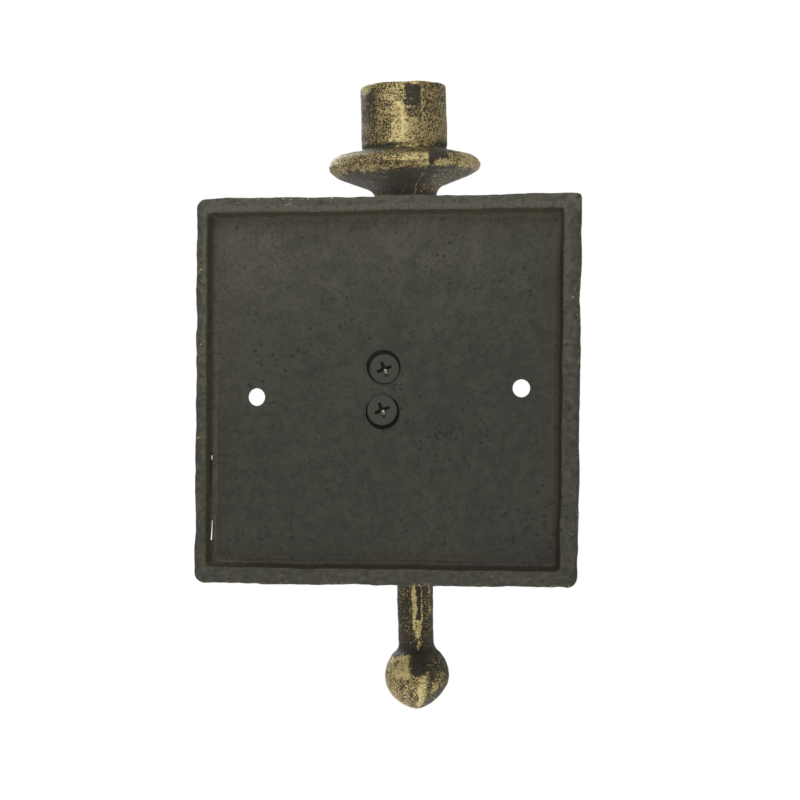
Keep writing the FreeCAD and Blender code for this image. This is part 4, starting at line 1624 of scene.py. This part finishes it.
@dataclass
class ArmCasting:
    """The cast arm: a pad behind the plate's face, a bar, and a beaded end for the post."""

    per_side: int = 40
    sharp: float = 45.0
    turn: float = -2.66
    half_x: float = 11.5
    half_z: float = 18.0
    corner: float = 9.0
    pad: float = 11.5
    pad_round: float = 3.0
    foot_radius: float = 10.5
    foot_length: float = 9.0
    bar_radius: float = 6.6
    end_radius: float = 7.0
    collar: float = 5.0
    collar_setback: float = 2.2
    screw_pitch: float = 12.7
    tap_radius: float = 2.52
    tap_depth: float = 9.5
    stud_radius: float = 3.02
    stud_depth: float = 13.0
    grain: Relief = Relief(6.0, 0.14, 81, 4)
    patches: Relief = Relief(7.0, 0.25, 83, 3)

    def build(self, frame: dict[str, Any], finish: CastingPaint) -> bpy.types.Object:
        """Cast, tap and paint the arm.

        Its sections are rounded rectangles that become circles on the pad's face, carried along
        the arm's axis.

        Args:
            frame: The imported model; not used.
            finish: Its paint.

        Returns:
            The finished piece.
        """
        low, high, centre = box_mm("arm")
        back, end = high[1], low[1]
        stand = facing_wall((centre[0], back, centre[2]), self.turn)
        rows = self.sections(back - end)
        flat = rounded_rings(rows[:, WIDE], rows[:, TALL], rows[:, CORNER], self.per_side, 0.0)
        depth = np.broadcast_to(-rows[:, DEPTH, None, None], (*flat.shape[:2], 1))
        rings = np.concatenate([flat, depth], axis=2)
        normals = outward_normals(rings, len(rings) // 2).reshape(-1, 3)
        spots = rings.reshape(-1, 3)
        free = window((-0.05, -1.2), (end - back, end - back + 1.0), spots[:, 2])
        rise = (self.grain.at(spots) - self.grain.height) * free
        spots = spots + normals * rise[:, None]
        load = np.repeat(rows[:, LOAD], rings.shape[1]) + self.patches.at(spots)
        piece = stand.skin("arm_casting", spots.reshape(rings.shape), -rows[[0, -1], DEPTH])
        store(piece.data, GOLD, load)
        store(piece.data, GRIME, smoothstep(0.5, 0.0, load))
        cut_away(piece, self.taps(stand, back - end))
        settle(piece, Slot.ARM, finish.build(), self.sharp, "arm")
        return piece

    def sections(self, length: float) -> np.ndarray:
        """Half width, half height, corner, depth from the plate's face and gold load of each section.

        Args:
            length: The arm's whole length.

        Returns:
            The sections (rows, 5), from the pad's back to the end's face.
        """
        x, z, c, r = self.half_x, self.half_z, self.corner, self.pad_round
        quarter = np.linspace(0.0, math.pi / 2.0, 9)
        bead = length - self.collar_setback - self.collar / 2.0
        foot = [
            (self.foot_radius - (self.foot_radius - self.bar_radius) * math.sin(a),
             self.pad + self.foot_length * (1.0 - math.cos(a)), 0.45 - 0.3 * math.cos(a))
            for a in np.linspace(0.06, math.pi / 2.0, 24)
        ]
        beads = [
            (self.bar_radius - 0.45 + 0.85 * math.cos(a), bead + self.collar / 2.0 * math.sin(a), 0.75)
            for a in np.linspace(-1.1, 1.4, 16)
        ]
        marks = [(x * s, z * s, c * s, 0.0, 0.0) for s in np.linspace(0.05, 1.0, 10)]
        marks += [(x, z, c, d, 0.35) for d in np.linspace(0.4, self.pad - r, 14)]
        marks += [
            (x - r * (1.0 - math.cos(a)), z - r * (1.0 - math.cos(a)), c - r * (1.0 - math.cos(a)) * 0.5,
             self.pad - r + r * math.sin(a), 0.75)
            for a in quarter[1:]
        ]
        face = np.array([x - r, z - r, min(c - r * 0.5, x - r)])
        round_foot = self.foot_radius + np.array([-2.2, 0.4, -2.2])
        marks += [
            (*(face + (round_foot - face) * t), self.pad + 0.25 * t, 0.4)
            for t in np.linspace(0.15, 1.0, 8)
        ]
        marks += [(q, q, q * 0.999, d, g) for q, d, g in foot if q < self.foot_radius * 0.8]
        bar = np.linspace(self.pad + self.foot_length + 0.6, bead - self.collar / 2.0 - 0.6, 44)
        marks += [(self.bar_radius, self.bar_radius, self.bar_radius * 0.999, d, 0.45) for d in bar]
        beads += [(self.end_radius - 0.3, length - 0.5, 0.5), (self.end_radius - 0.1, length - 0.15, 0.3)]
        marks += [(q, q, q * 0.999, d, g) for q, d, g in beads]
        marks += [(q, q, q * 0.999, length, 0.0) for q in np.linspace(self.end_radius - 0.4, 0.4, 10)]
        return np.array(marks)

    def taps(self, stand: Stand, length: float) -> list[bpy.types.Object]:
        """Cutters for the two tapped holes in the pad and the one in the end.

        Args:
            stand: The arm's stand.
            length: The arm's whole length.

        Returns:
            The cutters.
        """
        made = []
        holes = (
            ("tap_upper", -self.screw_pitch / 2.0, self.tap_radius, 1.0, -self.tap_depth),
            ("tap_lower", self.screw_pitch / 2.0, self.tap_radius, 1.0, -self.tap_depth),
            ("tap_end", 0.0, self.stud_radius, -length - 1.0, -length + self.stud_depth),
        )
        for name, offset, radius, start, stop in holes:
            aside = Stand(stand.origin + offset * stand.y, stand.x, stand.y, stand.z)
            made.append(aside.turn(name, [(radius, start), (radius, stop)], HOLE_COLUMNS))
        return made


@dataclass(frozen=True)
class Thread:
    """A rolled thread: its outer radius, pitch and depth in millimetres."""

    radius: float
    pitch: float
    depth: float
    flank: Pair = (0.15, 0.95)  # shares of half a turn between which the groove deepens
    near: float = 0.01

    def roll(self, spots: np.ndarray, start: float) -> np.ndarray:
        """Press a helical groove: a triangle wave of the height less the bearing's share of a pitch.

        Args:
            spots: Places on the rod's own axes.
            start: Height at which the thread begins.

        Returns:
            The moved places.
        """
        turn = np.arctan2(spots[:, 1], spots[:, 0]) / (2.0 * math.pi)
        wave = np.abs(((spots[:, 2] / self.pitch - turn) % 1.0) * 2.0 - 1.0)
        reach = np.hypot(spots[:, 0], spots[:, 1])
        on_rod = (np.abs(reach - self.radius) < self.near) & (spots[:, 2] < start)
        pull = 1.0 - self.depth * smoothstep(*self.flank, wave) * on_rod / self.radius
        return spots * np.stack([pull, pull, np.ones(len(pull))], axis=1)


@dataclass
class MachineScrew:
    """A flat-headed machine screw with a cross recess and a rolled thread."""

    node: str
    cross_turn: float
    columns: int = 180
    sharp: float = 35.0
    head_radius: float = 4.6
    land: float = 0.3
    thread: Thread = Thread(2.5, 0.8, 0.42)
    length: float = 12.0
    tip: float = 0.6
    face: float = -0.1  # height above which a place is on the head's face
    grit: Relief = Relief(0.9, 0.03, 91)
    cross_span: float = 4.9
    cross_slot: float = 1.15
    cross_depth: float = 2.3
    cross_draft: float = 12.0
    cross_room: float = 0.4  # how far round the cross the face is pressed
    flare: Pair = (1.25, 0.45)  # a slot's width in the middle, and how much less it is at its end
    arm_depth: Pair = (1.15, 0.75)  # a slot's depth, likewise
    hub_reach: float = 0.95  # the middle's reach, as a share of a slot's width
    hub_steep: float = 2.2
    worn_at: Pair = (0.15, 0.7)  # where the driver wore the plating off
    worn_reach: Pair = (1.0, 0.35)
    worn_load: float = 1.2
    worn_depth: float = 0.2

    def build(self, finish: PlatedSteel) -> bpy.types.Object:
        """Form the head, roll the thread and plate the screw.

        Args:
            finish: Its plating and paint.

        Returns:
            The finished piece.
        """
        _, high, centre = box_mm(self.node)
        stand = facing_wall((centre[0], high[1], centre[2]), self.cross_turn)
        radius = self.thread.radius
        shank = -self.land - (self.head_radius - radius)
        profile = trace([
            Station(0.05, 0.0, 0.0, 0.0, 0.06),
            Station(3.2, 0.0, 0.0, 0.0, 0.12),
            Station(self.head_radius - 0.18, -0.015, 0.0, 0.25, 0.06),
            Station(self.head_radius, -0.2, 0.0, 0.0, 0.1),
            Station(self.head_radius, -self.land, 0.0, 0.0, 0.15),
            Station(radius, shank, 0.0, 0.0, 0.09),
            Station(radius, self.tip - self.length, 0.0, 0.0, 0.09),
            Station(radius - self.tip, -self.length, 0.0, 0.0, 0.3),
            Station(0.1, -self.length),
        ])
        rings = turned_rings(profile[:, :2], self.columns)
        spots = rings.reshape(-1, 3)
        sunk = self.recess(spots)
        near = np.hypot(spots[:, 0], spots[:, 1]) < self.cross_span / 2.0 + self.cross_room
        spots[:, 2] -= np.where(near & (spots[:, 2] > self.face), sunk, 0.0)
        spots = self.thread.roll(spots, shank)
        grit = self.grit.at(spots) - self.grit.height
        spots[:, 2] += np.where(spots[:, 2] > self.face, grit, 0.0)
        ends = (-self.cross_depth, -self.length)
        piece = stand.skin(f"{self.node}_steel", spots.reshape(rings.shape), ends)
        away = np.hypot(spots[:, 0] - self.worn_at[0], spots[:, 1] - self.worn_at[1])
        fresh = smoothstep(*self.worn_reach, away) * self.worn_load * (sunk > self.worn_depth)
        bare = fresh + (spots[:, 2] < -self.land) * (sunk <= 0.0)
        store(piece.data, BARE, np.append(bare, [0.0, 1.0]))
        settle(piece, Slot.SCREW, finish.build(), self.sharp, self.node)
        return piece

    def recess(self, spots: np.ndarray) -> np.ndarray:
        """Depth of the cross recess: the distance inside either slot, steepened by the draft.

        Args:
            spots: Places on the screw's own axes.

        Returns:
            How far the head's face is pressed in at each.
        """
        p, q = np.abs(spots[:, 0]), np.abs(spots[:, 1])
        slot, span = self.cross_slot / 2.0, self.cross_span / 2.0
        out = np.maximum(p, q) / span
        flare = (self.flare[0] - self.flare[1] * out) * slot
        inside = np.maximum(np.minimum(flare - p, span - q), np.minimum(flare - q, span - p))
        hub = self.cross_slot * self.hub_reach - np.hypot(p, q)
        steep = 1.0 / math.tan(math.radians(self.cross_draft))
        deepest = self.cross_depth * (self.arm_depth[0] - self.arm_depth[1] * out)
        arms = np.clip(inside * steep, 0.0, deepest)
        return np.clip(np.maximum(arms, hub * self.hub_steep), 0.0, self.cross_depth)


@dataclass
class Stud:
    """The headless stud between the arm's end and the post's knop."""

    node: str = "post_stud"
    columns: int = 96
    sharp: float = 35.0
    thread: Thread = Thread(3.0, 1.0, 0.5)
    tip: float = 0.7

    def build(self, finish: PlatedSteel) -> bpy.types.Object:
        """Roll the stud's thread and plate it.

        Args:
            finish: Its plating.

        Returns:
            The finished piece.
        """
        low, high, centre = box_mm(self.node)
        half = (high[1] - low[1]) / 2.0
        stand = facing_wall(centre, 0.0)
        radius = self.thread.radius
        profile = trace([
            Station(0.2, half, 0.0, 0.0, 0.4),
            Station(radius - self.tip, half, 0.0, 0.0, 0.3),
            Station(radius, half - self.tip, 0.0, 0.0, 0.1),
            Station(radius, self.tip - half, 0.0, 0.0, 0.3),
            Station(radius - self.tip, -half, 0.0, 0.0, 0.4),
            Station(0.2, -half),
        ])
        rings = turned_rings(profile[:, :2], self.columns)
        spots = self.thread.roll(rings.reshape(-1, 3), half)
        piece = stand.skin("post_stud_steel", spots.reshape(rings.shape), (half, -half))
        store(piece.data, BARE, np.ones(len(piece.data.vertices)))
        settle(piece, Slot.STUD, finish.build(), self.sharp, self.node)
        return piece


# ---------------------------------------------------------------- studio


@dataclass(frozen=True)
class Lamp:
    """One square soft lamp that faces the object."""

    name: str
    power: float  # watts
    offset: Triple  # metres from the object's middle
    side: float = 0.8  # metres

    def hang(self, centre: Vector) -> None:
        """Hang the lamp.

        Args:
            centre: What it faces.
        """
        light = bpy.data.lights.new(self.name, "AREA")
        light.size = self.side
        light.energy = self.power
        lamp = bpy.data.objects.new(self.name, light)
        lamp.location = centre + Vector(self.offset)
        lamp.rotation_mode = "QUATERNION"
        lamp.rotation_quaternion = Vector(self.offset).to_track_quat("Z", "Y")
        bpy.context.scene.collection.objects.link(lamp)


@dataclass
class Studio:
    """A white studio: an even surround, soft lamps, a pale floor well below, and a camera.

    The surround is plain white where it is seen and gives less light than that, so that the lamps
    still shape the object.
    """

    surround: float = 0.55
    lamps: tuple[Lamp, ...] = (
        Lamp("key", 7.0, (0.12, 0.78, 0.7)),
        Lamp("bounce", 1.5, (0.1, 0.8, -0.5)),
        Lamp("fill", 9.0, (0.6, -0.9, 0.6)),
    )
    floor_drop: float = 0.75
    floor_reach: float = 3.4
    floor_corners: int = 96
    floor_colour: str = "e9e9e9"
    floor_rough: float = 0.9
    floor_glow: float = 0.42
    camera_turn: float = 7.0
    camera_distance: float = 0.745
    camera_lens: float = 109.6
    camera_aside: float = -0.00454
    camera_up: float = -0.00105

    def build(self, low: Vector, high: Vector) -> None:
        """Light the object, lay the floor and point the camera at its back.

        Args:
            low: Lowest corner of the object.
            high: Highest corner of the object.
        """
        scene = bpy.context.scene
        scene.view_settings.view_transform = "Standard"
        world = bpy.data.worlds.new("white_surround")
        scene.world = world
        world.use_nodes = True
        sky = world.node_tree.nodes["Background"]
        sky.inputs["Color"].default_value = (1.0, 1.0, 1.0, 1.0)
        seen = add_node(world.node_tree, "LightPath", {}, "Is Camera Ray")
        strength = add_node(world.node_tree, "MapRange", {"Value": seen, 3: self.surround, 4: 1.0})
        world.node_tree.links.new(strength, sky.inputs["Strength"])
        centre = (low + high) / 2.0
        for lamp in self.lamps:
            lamp.hang(centre)
        self.floor(centre, low.z - self.floor_drop)
        self.camera(centre, high.y)
        log.info("studio: %d lamps, a floor and a camera", len(self.lamps))

    def floor(self, centre: Vector, height: float) -> None:
        """Lay a round, pale, faintly lit floor.

        Args:
            centre: What it lies under.
            height: Its height.
        """
        turns = np.linspace(0.0, 2.0 * math.pi, self.floor_corners, endpoint=False)
        x = centre.x + self.floor_reach * np.cos(turns)
        y = centre.y + self.floor_reach * np.sin(turns)
        rim = np.stack([x, y, np.full(self.floor_corners, height)], axis=1)
        mesh = bpy.data.meshes.new("floor")
        mesh.from_pydata(rim.tolist(), [], [list(range(self.floor_corners))])
        piece = bpy.data.objects.new("floor", mesh)
        bpy.context.scene.collection.objects.link(piece)
        paper = bpy.data.materials.new("white_paper")
        paper.use_nodes = True
        shader = paper.node_tree.nodes["Principled BSDF"]
        shader.inputs["Base Color"].default_value = linear(self.floor_colour)
        shader.inputs["Roughness"].default_value = self.floor_rough
        shader.inputs["Emission Color"].default_value = (1.0, 1.0, 1.0, 1.0)
        shader.inputs["Emission Strength"].default_value = self.floor_glow
        mesh.materials.append(paper)
        piece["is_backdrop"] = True

    def camera(self, centre: Vector, wall: float) -> None:
        """Set the camera level behind the plate, a little to one side.

        Args:
            centre: The object's middle.
            wall: Y of the plate's back.
        """
        lens = bpy.data.cameras.new("view")
        lens.lens = self.camera_lens
        camera = bpy.data.objects.new("view", lens)
        turn = math.radians(self.camera_turn)
        away = Vector((-math.sin(turn), math.cos(turn), 0.0))
        aim = Vector((centre.x + self.camera_aside, wall, centre.z + self.camera_up))
        camera.location = aim + away * self.camera_distance
        camera.rotation_mode = "QUATERNION"
        camera.rotation_quaternion = away.to_track_quat("Z", "Y")
        bpy.context.scene.collection.objects.link(camera)
        bpy.context.scene.camera = camera


def main() -> None:
    """Load the frame, build every sub-assembly in order and set up the studio."""
    logging.basicConfig(level=logging.INFO, format="%(name)s: %(message)s")
    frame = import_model()
    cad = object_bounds()
    BackPlate().build(frame, CastingPaint("painted_plate_iron", gold="a39a76"))
    ArmCasting().build(frame, CastingPaint("painted_arm_iron"))
    PostCasting().build(frame, CastingPaint("brushed_gold_post_iron", paint="25241b", faded="2e2d23"))
    MachineScrew("arm_screw_upper", 21.0).build(PlatedSteel("painted_screw_steel_upper"))
    MachineScrew("arm_screw_lower", 23.0).build(PlatedSteel("painted_screw_steel_lower"))
    Stud().build(PlatedSteel("zinc_plated_stud"))
    Studio().build(*cad)


if __name__ == "__main__":
    main()
